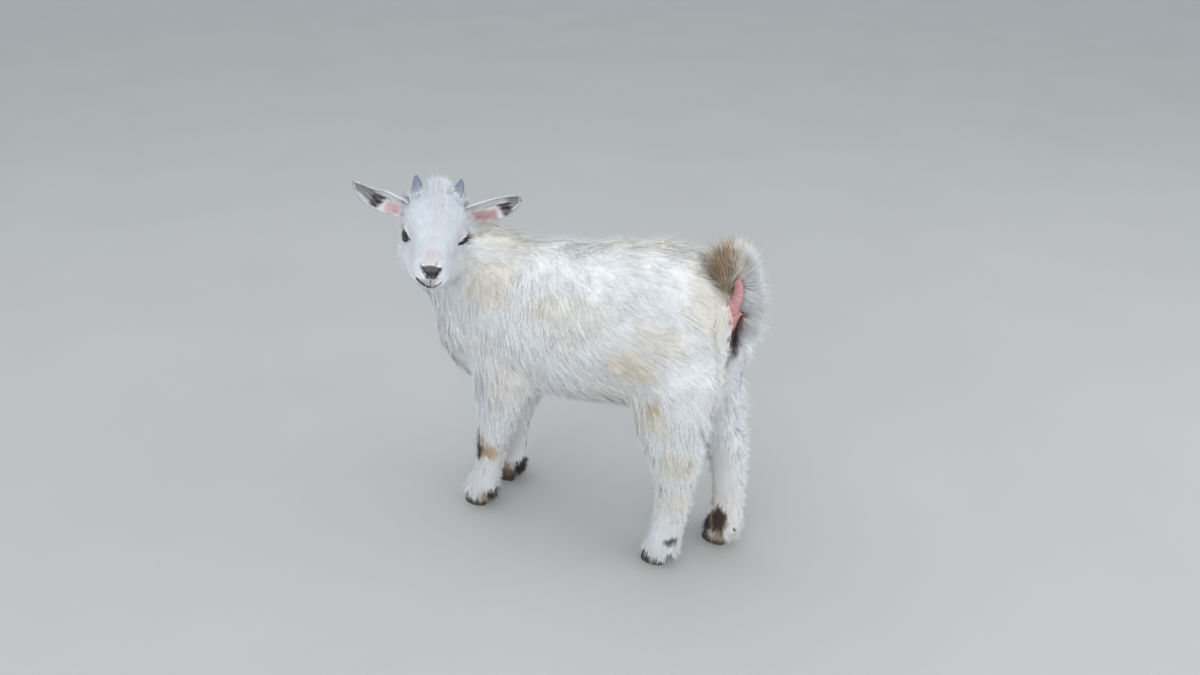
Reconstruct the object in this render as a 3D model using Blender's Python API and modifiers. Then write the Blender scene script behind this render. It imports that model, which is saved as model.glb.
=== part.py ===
"""A goat kid, life size, standing with its head turned back over its left shoulder.

The frame is +Z up, the body points along -X, its left side faces -Y, and the four
soles stand on Z = 0. The solids are the outer shape of the coat. The flesh is lofted
from elliptical sections, fused and smoothed as one body, and then parted by thin cuts.
"""

import math

import bmesh
import bpy
import numpy as np
from mathutils import Matrix, Vector

# ---------------------------------------------------------------- driving dimensions
CUT = 0.0003  # every gap between two solids
RING = 24  # points round a lofted section
VOXEL = 0.0035  # grain of the fused body
SMOOTHING = 6  # passes that blend the limbs into the trunk
BODY_SHARE = 0.0395  # share of the fused body's faces that is kept
SIDES = {"left": -1, "right": 1}

# head: its own frame has +X to the nose, +Y to the animal's left and +Z out of the poll
HEAD_AT = Vector((-0.1614, -0.0245, 0.3410))
HEAD_TURN = math.radians(-57.8)  # heading of the nose, counted from +X
HEAD_NOD = math.radians(-1.0)  # nose below level
HEAD_ROLL = math.radians(8.0)  # left ear lower than right
EYE_RADIUS = 0.0115
EYE_AT = (0.0170, 0.0236, 0.0016)  # in the head's frame, for the left side
HORN_AT = (-0.0120, 0.0195, 0.0330)
HORN_LENGTH = 0.0210
EAR_AT = (-0.0165, 0.0290, 0.0225)
EAR_LENGTH = 0.0610
EAR_WIDTH = 0.038  # measured flat, across its widest place
EAR_THICK = 0.0034

# feet
CLAW_LENGTH = 0.029
CLAW_WIDTH = 0.0125
CORONET = 0.0160  # height of the top of the claws at their middle
CORONET_SLOPE = 0.28  # rise towards the toe
FEET = {
    # toe heading as a turn from -X in degrees, middle on the floor, dewclaws behind it
    "front_left": (4.0, (-0.1345, -0.0280), 0.0215),
    "front_right": (-4.0, (-0.1265, 0.0280), 0.0190),
    "hind_left": (4.0, (0.0965, -0.0300), 0.0220),
    "hind_right": (-4.0, (0.1475, 0.0300), 0.0220),
}

# colours of the plain materials
WHITE = (0.86, 0.84, 0.80)
CREAM = (0.80, 0.68, 0.50)
PINK = (0.62, 0.50, 0.47)
DARK = (0.045, 0.035, 0.030)
HORN = (0.30, 0.32, 0.37)

COLLECTION = "goat_kid"


# ---------------------------------------------------------------- helpers
def start():
    """Empties the scene and makes the collections of the model and its cutters."""
    for obj in list(bpy.data.objects):
        bpy.data.objects.remove(obj, do_unlink=True)
    made = []
    for name in (COLLECTION, "cutters"):
        collection = bpy.data.collections.new(name)
        bpy.context.scene.collection.children.link(collection)
        made.append(collection)
    return made


def material(name, colour, roughness):
    """A Principled surface of one colour."""
    made = bpy.data.materials.new(name)
    made.use_nodes = True
    shader = made.node_tree.nodes["Principled BSDF"]
    shader.inputs["Base Color"].default_value = (*colour, 1.0)
    shader.inputs["Roughness"].default_value = roughness
    made.diffuse_color = (*colour, 1.0)
    return made


def add(name, bm, collection):
    """A new object that takes over a bmesh."""
    mesh = bpy.data.meshes.new(name)
    bmesh.ops.recalc_face_normals(bm, faces=bm.faces)
    bm.to_mesh(mesh)
    bm.free()
    obj = bpy.data.objects.new(name, mesh)
    collection.objects.link(obj)
    return obj


def guide(obj):
    """Marks an object as a cutter: drawn as wire and left out of the model."""
    obj.hide_render = True
    obj.display_type = "WIRE"
    return obj


def applied(obj):
    """Bakes an object's modifiers into its mesh."""
    graph = bpy.context.evaluated_depsgraph_get()
    mesh = bpy.data.meshes.new_from_object(obj.evaluated_get(graph))
    obj.modifiers.clear()
    obj.data = mesh
    return obj


def loft(name, stations, across, collection):
    """A closed tube through elliptical sections, which no primitive gives.

    A station is (centre, half size along across, half size square to it and to the path).
    """
    centres = [Vector(s[0]) for s in stations]
    bm = bmesh.new()
    rings = []
    for i, (_, wide, deep) in enumerate(stations):
        path = (centres[min(i + 1, len(centres) - 1)] - centres[max(i - 1, 0)]).normalized()
        side = (Vector(across) - path * path.dot(Vector(across))).normalized()
        third = path.cross(side)
        ring = []
        for k in range(RING):
            a = math.tau * k / RING
            ring.append(bm.verts.new(
                centres[i] + side * (wide * math.cos(a)) + third * (deep * math.sin(a))))
        rings.append(ring)
    for low, high in zip(rings, rings[1:]):
        for k in range(RING):
            bm.faces.new((low[k], low[k - 1], high[k - 1], high[k]))
    bm.faces.new(rings[0])
    bm.faces.new(reversed(rings[-1]))
    return add(name, bm, collection)


def ball(name, centre, radii, segments, collection):
    """An ellipsoid from a UV sphere."""
    bm = bmesh.new()
    bmesh.ops.create_uvsphere(bm, u_segments=segments, v_segments=segments * 2 // 3,
                              radius=1.0)
    bmesh.ops.transform(bm, verts=bm.verts, matrix=Matrix.Diagonal((*radii, 1.0)))
    bmesh.ops.translate(bm, verts=bm.verts, vec=Vector(centre))
    return add(name, bm, collection)


def joined(name, objects, collection):
    """One object that holds all the given meshes, in world space."""
    bm = bmesh.new()
    for obj in objects:
        obj.data.transform(obj.matrix_world)
        bm.from_mesh(obj.data)
        bpy.data.objects.remove(obj)
    mesh = bpy.data.meshes.new(name)
    bm.to_mesh(mesh)
    bm.free()
    made = bpy.data.objects.new(name, mesh)
    collection.objects.link(made)
    return made


def boolean(obj, cutter, operation):
    """Adds an exact Boolean and applies it."""
    modifier = obj.modifiers.new(operation.lower(), "BOOLEAN")
    modifier.operation = operation
    modifier.object = cutter
    modifier.solver = "EXACT"
    return applied(obj)


def prism(name, outline, start_at, run, collection):
    """A closed prism: a flat outline of points, swept along a vector."""
    bm = bmesh.new()
    near = [bm.verts.new(Vector(start_at) + Vector(point)) for point in outline]
    face = bm.faces.new(near)
    swept = bmesh.ops.extrude_face_region(bm, geom=[face])["geom"]
    far = [item for item in swept if isinstance(item, bmesh.types.BMVert)]
    bmesh.ops.translate(bm, verts=far, vec=Vector(run))
    return guide(add(name, bm, collection))


def copy_of(obj, name, collection):
    """A second object with its own mesh."""
    made = bpy.data.objects.new(name, obj.data.copy())
    collection.objects.link(made)
    return made


def grown(obj, by):
    """Moves a mesh out along its normals by a small amount."""
    mesh = obj.data
    count = len(mesh.vertices)
    points = np.empty(count * 3, np.float32)
    normals = np.empty(count * 3, np.float32)
    mesh.vertices.foreach_get("co", points)
    mesh.vertices.foreach_get("normal", normals)
    mesh.vertices.foreach_set("co", points + by * normals)
    mesh.update()
    return obj


def head_matrix():
    """Places the head's own frame in the model's."""
    heading = Matrix.Rotation(HEAD_TURN, 4, "Z")
    nod = Matrix.Rotation(HEAD_NOD, 4, "Y")
    roll = Matrix.Rotation(-HEAD_ROLL, 4, "X")
    return Matrix.Translation(HEAD_AT) @ heading @ nod @ roll


# ---------------------------------------------------------------- forms of the body
def trunk_form(collection):
    """Chest, barrel and croup: (x, middle height, half width, half height)."""
    sections = (
        (-0.163, 0.215, 0.024, 0.032),
        (-0.152, 0.219, 0.042, 0.055),
        (-0.125, 0.233, 0.053, 0.077),
        (-0.085, 0.250, 0.061, 0.088),
        (-0.040, 0.257, 0.066, 0.086),
        (0.010, 0.262, 0.070, 0.086),
        (0.055, 0.271, 0.071, 0.087),
        (0.095, 0.281, 0.068, 0.085),
        (0.128, 0.290, 0.058, 0.071),
        (0.150, 0.292, 0.042, 0.052),
        (0.163, 0.291, 0.024, 0.030),
    )
    stations = [((x, 0.0, z), wide, tall) for x, z, wide, tall in sections]
    return loft("trunk_form", stations, (0, 1, 0), collection)


def neck_form(collection):
    """The neck leaves the shoulders forwards and curls to the left under the head."""
    stations = (
        ((-0.070, 0.000, 0.263), 0.050, 0.069),
        ((-0.115, 0.001, 0.280), 0.049, 0.067),
        ((-0.147, 0.001, 0.300), 0.046, 0.059),
        ((-0.166, -0.002, 0.319), 0.041, 0.048),
        ((-0.166, -0.012, 0.335), 0.034, 0.036),
    )
    return loft("neck_form", stations, (0, 1, 0), collection)


def head_form(collection, fuller=0.0):
    """Skull, nose, cheeks and brows: (forward, half width, top, bottom) in the head's frame."""
    skull = (
        (-0.049, 0.0190, 0.0190, -0.0120),
        (-0.040, 0.0290, 0.0340, -0.0220),
        (-0.023, 0.0350, 0.0410, -0.0300),
        (-0.006, 0.0370, 0.0410, -0.0320),
        (0.008, 0.0360, 0.0370, -0.0330),
        (0.020, 0.0290, 0.0305, -0.0330),
        (0.032, 0.0235, 0.0235, -0.0330),
        (0.044, 0.0215, 0.0175, -0.0340),
        (0.056, 0.0205, 0.0130, -0.0345),
        (0.067, 0.0205, 0.0095, -0.0340),
        (0.077, 0.0195, 0.0060, -0.0315),
        (0.087, 0.0140, 0.0000, -0.0250),
    )
    jaw = (
        (-0.030, 0.0240, 0.0050, -0.0340),
        (-0.014, 0.0345, 0.0020, -0.0430),
        (0.004, 0.0365, 0.0000, -0.0455),
        (0.020, 0.0345, -0.0020, -0.0440),
        (0.034, 0.0300, -0.0050, -0.0420),
        (0.048, 0.0250, -0.0090, -0.0400),
        (0.062, 0.0215, -0.0120, -0.0370),
    )
    made = []
    for name, sections in (("skull", skull), ("jaw", jaw)):
        stations = [((x, 0.0, (top + low) / 2), wide + fuller, (top - low) / 2 + fuller)
                    for x, wide, top, low in sections]
        made.append(loft(name, stations, (0, 1, 0), collection))
    x, y, z = EYE_AT
    for side in SIDES.values():
        made.append(ball("brow", (x - 0.006, side * (y - 0.0025), z + 0.001),
                         [EYE_RADIUS + 0.0035 + fuller] * 3, 24, collection))
    made.append(ball("poll_tuft", (-0.016, 0.003, 0.039),
                     [0.012 + fuller, 0.015 + fuller, 0.0135 + fuller], 24, collection))
    for piece in made:
        piece.data.transform(head_matrix())
    return joined("head_form", made, collection)


def tail_form(collection):
    """The raised tail with its fan of hair."""
    stations = (
        ((0.122, 0.0, 0.300), 0.020, 0.018),
        ((0.143, 0.0, 0.313), 0.024, 0.027),
        ((0.151, 0.0, 0.331), 0.028, 0.028),
        ((0.149, 0.0, 0.348), 0.029, 0.025),
        ((0.145, 0.0, 0.362), 0.025, 0.022),
        ((0.142, 0.0, 0.371), 0.015, 0.014),
    )
    return loft("tail_form", stations, (0, 1, 0), collection)


# (forward-back place, sideways place, height), half width, half depth, shoulder to pastern
FRONT_LEG = {
    "left": (
        ((-0.078, -0.034, 0.240), 0.026, 0.046),
        ((-0.078, -0.038, 0.205), 0.024, 0.040),
        ((-0.082, -0.038, 0.175), 0.0215, 0.033),
        ((-0.092, -0.036, 0.140), 0.0180, 0.0240),
        ((-0.102, -0.033, 0.108), 0.0160, 0.0175),
        ((-0.107, -0.031, 0.088), 0.0155, 0.0165),
        ((-0.113, -0.030, 0.062), 0.0140, 0.0150),
        ((-0.119, -0.029, 0.042), 0.0145, 0.0160),
        ((-0.125, -0.028, 0.029), 0.0155, 0.0175),
        ((-0.132, -0.028, 0.017), 0.0150, 0.0165),
        ((-0.135, -0.028, 0.009), 0.0130, 0.0150),
    ),
    "right": (
        ((-0.080, 0.034, 0.240), 0.026, 0.046),
        ((-0.082, 0.038, 0.205), 0.024, 0.039),
        ((-0.087, 0.038, 0.175), 0.0215, 0.030),
        ((-0.096, 0.036, 0.140), 0.0180, 0.0230),
        ((-0.105, 0.033, 0.108), 0.0160, 0.0175),
        ((-0.110, 0.031, 0.088), 0.0155, 0.0165),
        ((-0.113, 0.030, 0.062), 0.0140, 0.0150),
        ((-0.115, 0.029, 0.042), 0.0145, 0.0155),
        ((-0.118, 0.028, 0.029), 0.0155, 0.0170),
        ((-0.124, 0.028, 0.017), 0.0150, 0.0160),
        ((-0.127, 0.028, 0.009), 0.0130, 0.0150),
    ),
}
HIND_LEG = {
    "left": (
        ((0.108, -0.030, 0.280), 0.028, 0.042),
        ((0.110, -0.040, 0.245), 0.030, 0.047),
        ((0.111, -0.044, 0.210), 0.027, 0.039),
        ((0.109, -0.043, 0.180), 0.023, 0.033),
        ((0.115, -0.039, 0.152), 0.0195, 0.026),
        ((0.116, -0.036, 0.128), 0.0170, 0.0190),
        ((0.116, -0.034, 0.108), 0.0155, 0.0168),
        ((0.113, -0.032, 0.075), 0.0150, 0.0165),
        ((0.109, -0.031, 0.045), 0.0155, 0.0170),
        ((0.107, -0.030, 0.030), 0.0165, 0.0185),
        ((0.101, -0.030, 0.017), 0.0150, 0.0170),
        ((0.098, -0.030, 0.009), 0.0135, 0.0160),
    ),
    "right": (
        ((0.108, 0.030, 0.280), 0.028, 0.042),
        ((0.114, 0.040, 0.245), 0.030, 0.050),
        ((0.116, 0.044, 0.210), 0.027, 0.040),
        ((0.123, 0.043, 0.180), 0.023, 0.033),
        ((0.136, 0.039, 0.152), 0.0195, 0.025),
        ((0.147, 0.036, 0.128), 0.0170, 0.0215),
        ((0.151, 0.034, 0.108), 0.0155, 0.0185),
        ((0.156, 0.032, 0.075), 0.0150, 0.0165),
        ((0.158, 0.031, 0.045), 0.0155, 0.0170),
        ((0.158, 0.030, 0.030), 0.0165, 0.0185),
        ((0.152, 0.030, 0.017), 0.0150, 0.0170),
        ((0.149, 0.030, 0.009), 0.0135, 0.0160),
    ),
}


def fuse(obj, share):
    """Turns overlapping closed forms into one smooth skin."""
    remesh = obj.modifiers.new("fuse", "REMESH")
    remesh.mode = "VOXEL"
    remesh.voxel_size = VOXEL
    smooth = obj.modifiers.new("blend", "SMOOTH")
    smooth.factor = 0.5
    smooth.iterations = SMOOTHING
    fewer = obj.modifiers.new("fewer_faces", "DECIMATE")
    fewer.ratio = share
    fewer.use_collapse_triangulate = True
    return applied(obj)


def fused_body(collection):
    """All the flesh as one smooth closed surface."""
    forms = [trunk_form(collection), neck_form(collection), head_form(collection),
             tail_form(collection)]
    for name, legs in (("front", FRONT_LEG), ("hind", HIND_LEG)):
        for side, stations in legs.items():
            forms.append(loft(f"{name}_{side}_form", stations, (0, 1, 0), collection))
    bpy.context.view_layer.update()
    body = joined("body", forms, collection)
    return fuse(body, BODY_SHARE)


# ---------------------------------------------------------------- pieces set on the head
def eye(side, collection):
    """An eyeball in the head's frame."""
    x, y, z = EYE_AT
    made = ball(f"eye_{side}", (x, -SIDES[side] * y, z), [EYE_RADIUS] * 3, 16,
                collection)
    made.data.transform(head_matrix())
    return made


def horn(side, collection):
    """A short bud that leans out and back as it narrows."""
    x, y, z = HORN_AT
    left = -SIDES[side]
    stations = []
    for share, radius in ((0.0, 0.0064), (0.3, 0.0060), (0.6, 0.0048), (0.85, 0.0030),
                          (1.0, 0.0010)):
        reach = HORN_LENGTH * share
        centre = (x - 0.10 * reach - 0.10 * reach * share,
                  left * (y + 0.17 * reach), z + 0.98 * reach)
        stations.append((centre, radius, radius * 1.08))
    made = loft(f"horn_{side}", stations, (0, 1, 0), collection)
    made.data.transform(head_matrix())
    return made


def ear(side, collection):
    """A leaf of gristle: rolled at its root, open and nearly flat at its tip."""
    lengths, widths = 11, 8
    left = -SIDES[side]
    lift = math.radians(13.5)
    back = math.radians(8.0)
    along = Vector((-math.sin(back), left * math.cos(back) * math.cos(lift),
                    math.cos(back) * math.sin(lift))).normalized()
    opening = Vector((0.80, left * 0.10, -0.45))
    opening = (opening - along * along.dot(opening)).normalized()
    across = opening.cross(along)
    bm = bmesh.new()
    rows = []
    for i in range(lengths + 1):
        t = i / lengths
        round_tip = math.sqrt(max(0.0, 1.0 - max(0.0, (t - 0.55) / 0.47) ** 2.4))
        flat = EAR_WIDTH * (0.86 + 0.14 * math.sin(3.6 * t) - 0.22 * t) * round_tip
        roll = math.radians(215.0 - 150.0 * t ** 0.6)
        radius = flat / roll
        middle = along * (EAR_LENGTH * t) + opening * (0.004 * math.sin(math.pi * t))
        row = []
        for k in range(widths + 1):
            a = roll * (k / widths - 0.5)
            place = middle + across * (radius * math.sin(a))
            row.append(bm.verts.new(place + opening * (radius * (1 - math.cos(a)))))
        rows.append(row)
    for low, high in zip(rows, rows[1:]):
        for k in range(widths):
            bm.faces.new((low[k], low[k + 1], high[k + 1], high[k]))
    made = add(f"ear_{side}", bm, collection)
    x, y, z = EAR_AT
    made.data.transform(head_matrix() @ Matrix.Translation((x, left * y, z)))
    shell = made.modifiers.new("gristle", "SOLIDIFY")
    shell.thickness = EAR_THICK
    shell.offset = 0.0
    return applied(made)


# ---------------------------------------------------------------- feet
def claw_outline(share):
    """Half of a cloven foot seen from above: straight inside, rounded outside."""
    points = []
    for k in range(14):
        a = math.tau * k / 14
        x = math.cos(a)
        y = math.sin(a)
        narrow = 1.0 - 0.30 * max(0.0, x) ** 2
        points.append((-x * CLAW_LENGTH / 2 * share, (y * narrow + 1.0) * CLAW_WIDTH / 2))
    return points


def foot_matrix(foot):
    """Places one foot's own frame, toe to -X, on the floor."""
    turn, (x0, y0), _ = FEET[foot]
    return (Matrix.Translation((x0, y0, 0.0))
            @ Matrix.Rotation(math.radians(turn), 4, "Z"))


def claw(foot, side, collection):
    """One half of the hoof, from its flat sole up to the coronet."""
    outer = SIDES["left"] if foot.endswith("left") else SIDES["right"]
    away = outer if side == "outer" else -outer
    bm = bmesh.new()
    rings = []
    for level, share, back in ((0.0, 0.97, 0.0), (0.12, 1.0, 0.0), (0.55, 0.93, 0.0012),
                               (1.0, 0.84, 0.0026)):
        ring = []
        for x, y in claw_outline(share):
            z = level * (CORONET - CUT - CORONET_SLOPE * (x + back))
            ring.append(bm.verts.new((x + back, away * (y * (1 - 0.1 * level) + 0.0006), z)))
        rings.append(ring)
    for low, high in zip(rings, rings[1:]):
        for k in range(len(low)):
            bm.faces.new((low[k], low[k - 1], high[k - 1], high[k]))
    bm.faces.new(rings[0])
    bm.faces.new(reversed(rings[-1]))
    made = add(f"hoof_{foot}_{side}", bm, collection)
    made.data.transform(foot_matrix(foot))
    return made


def dewclaw(foot, side, collection):
    """One of the two small horny knobs behind a fetlock."""
    outer = SIDES["left"] if foot.endswith("left") else SIDES["right"]
    away = outer if side == "outer" else -outer
    made = ball(f"dewclaw_{foot}_{side}", (FEET[foot][2], away * 0.0075, 0.0270),
                (0.0042, 0.0036, 0.0052), 9, collection)
    made.data.transform(foot_matrix(foot))
    return made


def above_coronet(leg, foot, cutters):
    """Cuts a leg off along the sloping top of its hoof."""
    low, high = CORONET - CORONET_SLOPE * 0.06, CORONET + CORONET_SLOPE * 0.06
    below = prism(f"{foot}_below", [(-0.06, 0, -0.05), (0.06, 0, -0.05), (0.06, 0, low),
                                    (-0.06, 0, high)], (0, -0.035, 0), (0, 0.07, 0), cutters)
    below.data.transform(foot_matrix(foot))
    return boolean(leg, below, "DIFFERENCE")


def socket(piece, inner, cutters):
    """Hollows one piece out round another, leaving the thin gap."""
    room = guide(grown(copy_of(inner, f"{inner.name}_room", cutters), CUT * 2.6))
    return boolean(piece, room, "DIFFERENCE")


# ---------------------------------------------------------------- parting the body
def split(body, cutter, name, model, cutters):
    """Takes the part of the body inside the cutter off as a new object, with a thin gap."""
    piece = copy_of(body, name, model)
    boolean(piece, cutter, "INTERSECT")
    wider = guide(grown(copy_of(cutter, f"{cutter.name}_gap", cutters), CUT * 1.8))
    boolean(body, wider, "DIFFERENCE")
    return piece


def leg_outline(outer, root, reach):
    """The region of one leg seen from the front: low inside, high outside."""
    inner_z, outer_z = root
    y_in, y_out = reach
    return [(0.0, outer * y, z) for y, z in
            ((0.001, -0.02), (0.001, inner_z - 0.004), (y_in, inner_z), (y_out, outer_z),
             (y_out, -0.02))]


def part_body(body, model, cutters):
    """Parts the fused body into head, neck, tail, four legs and trunk."""
    pieces = {}
    head_cutter = guide(head_form(cutters, fuller=0.0070))
    head_cutter.name = "head_cutter"
    fuse(head_cutter, 0.06)
    pieces["head"] = split(body, head_cutter, "head", model, cutters)
    reach = 0.40
    neck_cutter = prism("neck_cutter",
                        [(-0.045 + reach, 0, 0.345 + reach), (-0.045 - reach, 0, 0.345 - reach),
                         (-0.045 - reach, 0, 0.345 + reach)],
                        (0, -0.2, 0), (0, 0.4, 0), cutters)
    pieces["neck"] = split(body, neck_cutter, "neck", model, cutters)
    tail_cutter = prism("tail_cutter", [(0.108, 0, 0.366), (0.188, 0, 0.291), (0.25, 0, 0.40),
                                        (0.15, 0, 0.45)], (0, -0.1, 0), (0, 0.2, 0), cutters)
    pieces["tail"] = split(body, tail_cutter, "tail", model, cutters)
    for side, outer in SIDES.items():
        front = prism(f"front_{side}_cutter",
                      leg_outline(outer, (0.150, 0.222), (0.012, 0.10)),
                      (-0.20, 0, 0), (0.18, 0, 0), cutters)
        pieces[f"leg_front_{side}"] = split(body, front, f"leg_front_{side}", model, cutters)
        hind = prism(f"hind_{side}_cutter",
                     leg_outline(outer, (0.188, 0.270), (0.010, 0.10)),
                     (0.072, 0, 0), (0.14, 0, 0), cutters)
        pieces[f"leg_hind_{side}"] = split(body, hind, f"leg_hind_{side}", model, cutters)
    body.name = "trunk"
    pieces["trunk"] = body
    return pieces


def centre(objects):
    """Moves the whole model so that the middle of its box is over the origin."""
    xs = [v.co.x for obj in objects for v in obj.data.vertices]
    ys = [v.co.y for obj in objects for v in obj.data.vertices]
    middle = Vector(((min(xs) + max(xs)) / 2, (min(ys) + max(ys)) / 2, 0.0))
    for obj in objects:
        obj.data.transform(Matrix.Translation(-middle))
    print("moved by", -middle)


def main():
    model, cutters = start()
    coat = material("coat", WHITE, 0.85)
    tail_coat = material("tail_coat", CREAM, 0.85)
    iris = material("eye", DARK, 0.10)
    horn_look = material("horn", HORN, 0.55)
    ear_coat = material("ear_coat", PINK, 0.80)
    hoof = material("hoof", DARK, 0.45)
    body = fused_body(model)
    pieces = part_body(body, model, cutters)
    for side in SIDES:
        for made, look in ((eye(side, model), iris), (horn(side, model), horn_look),
                           (ear(side, model), ear_coat)):
            socket(pieces["head"], made, cutters)
            if made.name == "ear_left":
                socket(pieces["neck"], made, cutters)
            made.data.materials.append(look)
    for foot in FEET:
        leg = pieces[f"leg_{foot}"]
        above_coronet(leg, foot, cutters)
        for half in ("outer", "inner"):
            spur = dewclaw(foot, half, model)
            socket(leg, spur, cutters)
            for made in (spur, claw(foot, half, model)):
                made.data.materials.append(hoof)
    for name, piece in pieces.items():
        piece.data.materials.clear()
        piece.data.materials.append(tail_coat if name == "tail" else coat)
    centre(model.objects)


main()
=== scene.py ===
# %% [markdown]
# # A goat kid that looks back over its shoulder
# The model is a life-size museum figure of a small white kid. Its solids are already made and packed: head,
# neck, trunk, tail, legs, ears, eyes, horns and hooves, each a plain closed form. This lesson gives them
# their looks. We load the solids, grow one skin over the flesh, set eyes and horn in it, and then lay a
# coat of tufts on it. Nothing here changes a size: every place is worked out from the solids' own boxes.

import math
from types import SimpleNamespace

import bmesh
import bpy
import numpy as np
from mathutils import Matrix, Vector
from mathutils.bvhtree import BVHTree
from mathutils.kdtree import KDTree


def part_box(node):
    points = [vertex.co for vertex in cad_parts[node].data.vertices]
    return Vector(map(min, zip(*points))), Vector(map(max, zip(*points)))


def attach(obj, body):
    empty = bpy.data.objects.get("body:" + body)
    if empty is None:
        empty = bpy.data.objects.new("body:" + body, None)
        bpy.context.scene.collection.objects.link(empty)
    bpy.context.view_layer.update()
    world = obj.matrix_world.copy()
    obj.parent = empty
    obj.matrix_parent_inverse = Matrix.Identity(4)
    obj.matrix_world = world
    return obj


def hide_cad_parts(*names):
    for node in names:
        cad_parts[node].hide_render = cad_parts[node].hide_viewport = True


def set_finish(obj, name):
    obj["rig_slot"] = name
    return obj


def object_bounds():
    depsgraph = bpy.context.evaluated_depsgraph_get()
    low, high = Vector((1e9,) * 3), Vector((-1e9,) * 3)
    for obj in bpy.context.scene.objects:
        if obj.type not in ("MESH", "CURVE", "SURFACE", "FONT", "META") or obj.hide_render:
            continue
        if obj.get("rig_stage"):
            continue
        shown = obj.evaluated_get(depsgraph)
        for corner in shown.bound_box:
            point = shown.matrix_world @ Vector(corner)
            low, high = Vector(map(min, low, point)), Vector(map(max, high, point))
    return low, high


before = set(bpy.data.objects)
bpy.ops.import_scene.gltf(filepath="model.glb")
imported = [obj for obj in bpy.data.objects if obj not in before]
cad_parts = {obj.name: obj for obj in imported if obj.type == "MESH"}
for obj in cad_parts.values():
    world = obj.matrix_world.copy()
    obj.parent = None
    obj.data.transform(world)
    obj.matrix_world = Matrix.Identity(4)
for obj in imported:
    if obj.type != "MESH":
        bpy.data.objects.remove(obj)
solid_box = [list(corner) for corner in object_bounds()]
print("solids:", len(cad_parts), "box:", np.round(solid_box, 4).tolist())

# %% [markdown]
# ## Small tools for whole arrays
# The coat has about 240 thousand tufts, so a Python loop over all their points is too slow. We keep points
# as numpy arrays, one row each. The tools are few: a unit vector, a smooth step, a soft spot, a smooth
# random wave and a search for neighbours.

# %% Arrays
WAVE_COUNT = 6
WAVE_REACH = 2.6  # the sum of that many waves is about this high


def unit(vectors):
    """The same directions with length one."""
    return vectors / np.maximum(np.linalg.norm(vectors, axis=-1, keepdims=True), 1e-12)


def lengths_of(vectors):
    """The length of each vector."""
    return np.linalg.norm(vectors, axis=-1)


def ease(values, low, high):
    """0 at low, 1 at high, with a smooth rise between. Low may be the larger."""
    share = np.clip((values - low) / (high - low), 0.0, 1.0)
    return share * share * (3.0 - 2.0 * share)


def column(values):
    """One number for each point, ready to multiply a row of three."""
    return np.asarray(values, float)[:, None]


def soft_spot(points, centre, radii):
    """1 at a centre, fading to 0 within a few radii."""
    return np.exp(-np.sum(((points - np.array(centre)) / radii) ** 2, axis=1))


def nearest_of(points, targets):
    """The number of the target nearest to each point."""
    tree = KDTree(len(targets))
    for k, target in enumerate(targets.tolist()):
        tree.insert(target, k)
    tree.balance()
    return np.array([tree.find(point)[1] for point in points.tolist()])


def waves(points, size, seed):
    """Smooth noise from about -1 to 1 whose bumps are about size apart."""
    rng = np.random.default_rng(seed)
    total = np.zeros(len(points))
    for _ in range(WAVE_COUNT):
        way = unit(rng.normal(size=3)) * rng.uniform(0.6, 1.6) * math.tau / size
        total += np.sin(points @ way + rng.uniform(0.0, math.tau))
    return total / WAVE_REACH


# %% [markdown]
# ### From arrays to meshes and back
# Blender keeps a mesh as points and faces, and two arrays can say the same. One function makes an object
# from them and two read them back. The others average the faces' directions at each point, list the edges,
# and pull points towards their neighbours, as a sculptor's smoothing brush does.

# %% Meshes
PULL_IN = 0.55
PUSH_OUT = -0.57


def piece(name, points, faces):
    """A smooth mesh object from arrays of points and of equal-sided faces."""
    mesh = bpy.data.meshes.new(name)
    mesh.vertices.add(len(points))
    mesh.vertices.foreach_set("co", np.asarray(points, np.float32).ravel())
    mesh.loops.add(faces.size)
    mesh.loops.foreach_set("vertex_index", np.asarray(faces, np.int32).ravel())
    mesh.polygons.add(len(faces))
    starts = np.arange(0, faces.size, faces.shape[1], dtype=np.int32)
    mesh.polygons.foreach_set("loop_start", starts)
    mesh.update(calc_edges=True)
    mesh.shade_smooth()
    made = bpy.data.objects.new(name, mesh)
    bpy.context.scene.collection.objects.link(made)
    return made


def read_bmesh(bm):
    """Points and triangles of a bmesh, which is freed."""
    bmesh.ops.triangulate(bm, faces=bm.faces)
    bm.verts.index_update()
    points = np.array([v.co[:] for v in bm.verts])
    faces = np.array([[v.index for v in f.verts] for f in bm.faces])
    bm.free()
    return points, faces


def node_mesh(name):
    """Points and triangles of a solid, with points that were doubled at its edges merged."""
    bm = bmesh.new()
    bm.from_mesh(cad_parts[name].data)
    bmesh.ops.remove_doubles(bm, verts=bm.verts, dist=1e-6)
    return read_bmesh(bm)


def together(parts):
    """Several meshes as one pair of arrays."""
    points = []
    faces = []
    count = 0
    for part_points, part_faces in parts:
        points.append(part_points)
        faces.append(part_faces + count)
        count += len(part_points)
    return np.concatenate(points), np.concatenate(faces)


def point_sums(faces, values, count):
    """Adds a value of each face to each of its points."""
    total = np.zeros((count, values.shape[1]))
    for corner in faces.T:
        for axis in range(values.shape[1]):
            total[:, axis] += np.bincount(corner, values[:, axis], count)
    return total


def normals_of(points, faces):
    """Outward directions at the points of a triangle mesh."""
    a, b, c = (points[faces[:, k]] for k in range(3))
    return unit(point_sums(faces, np.cross(b - a, c - a), len(points)))


def edges_of(faces):
    """Each edge once, as pairs of point numbers."""
    pairs = np.concatenate([faces[:, (k, (k + 1) % faces.shape[1])] for k in range(faces.shape[1])])
    return np.unique(np.sort(pairs, axis=1), axis=0)


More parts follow.
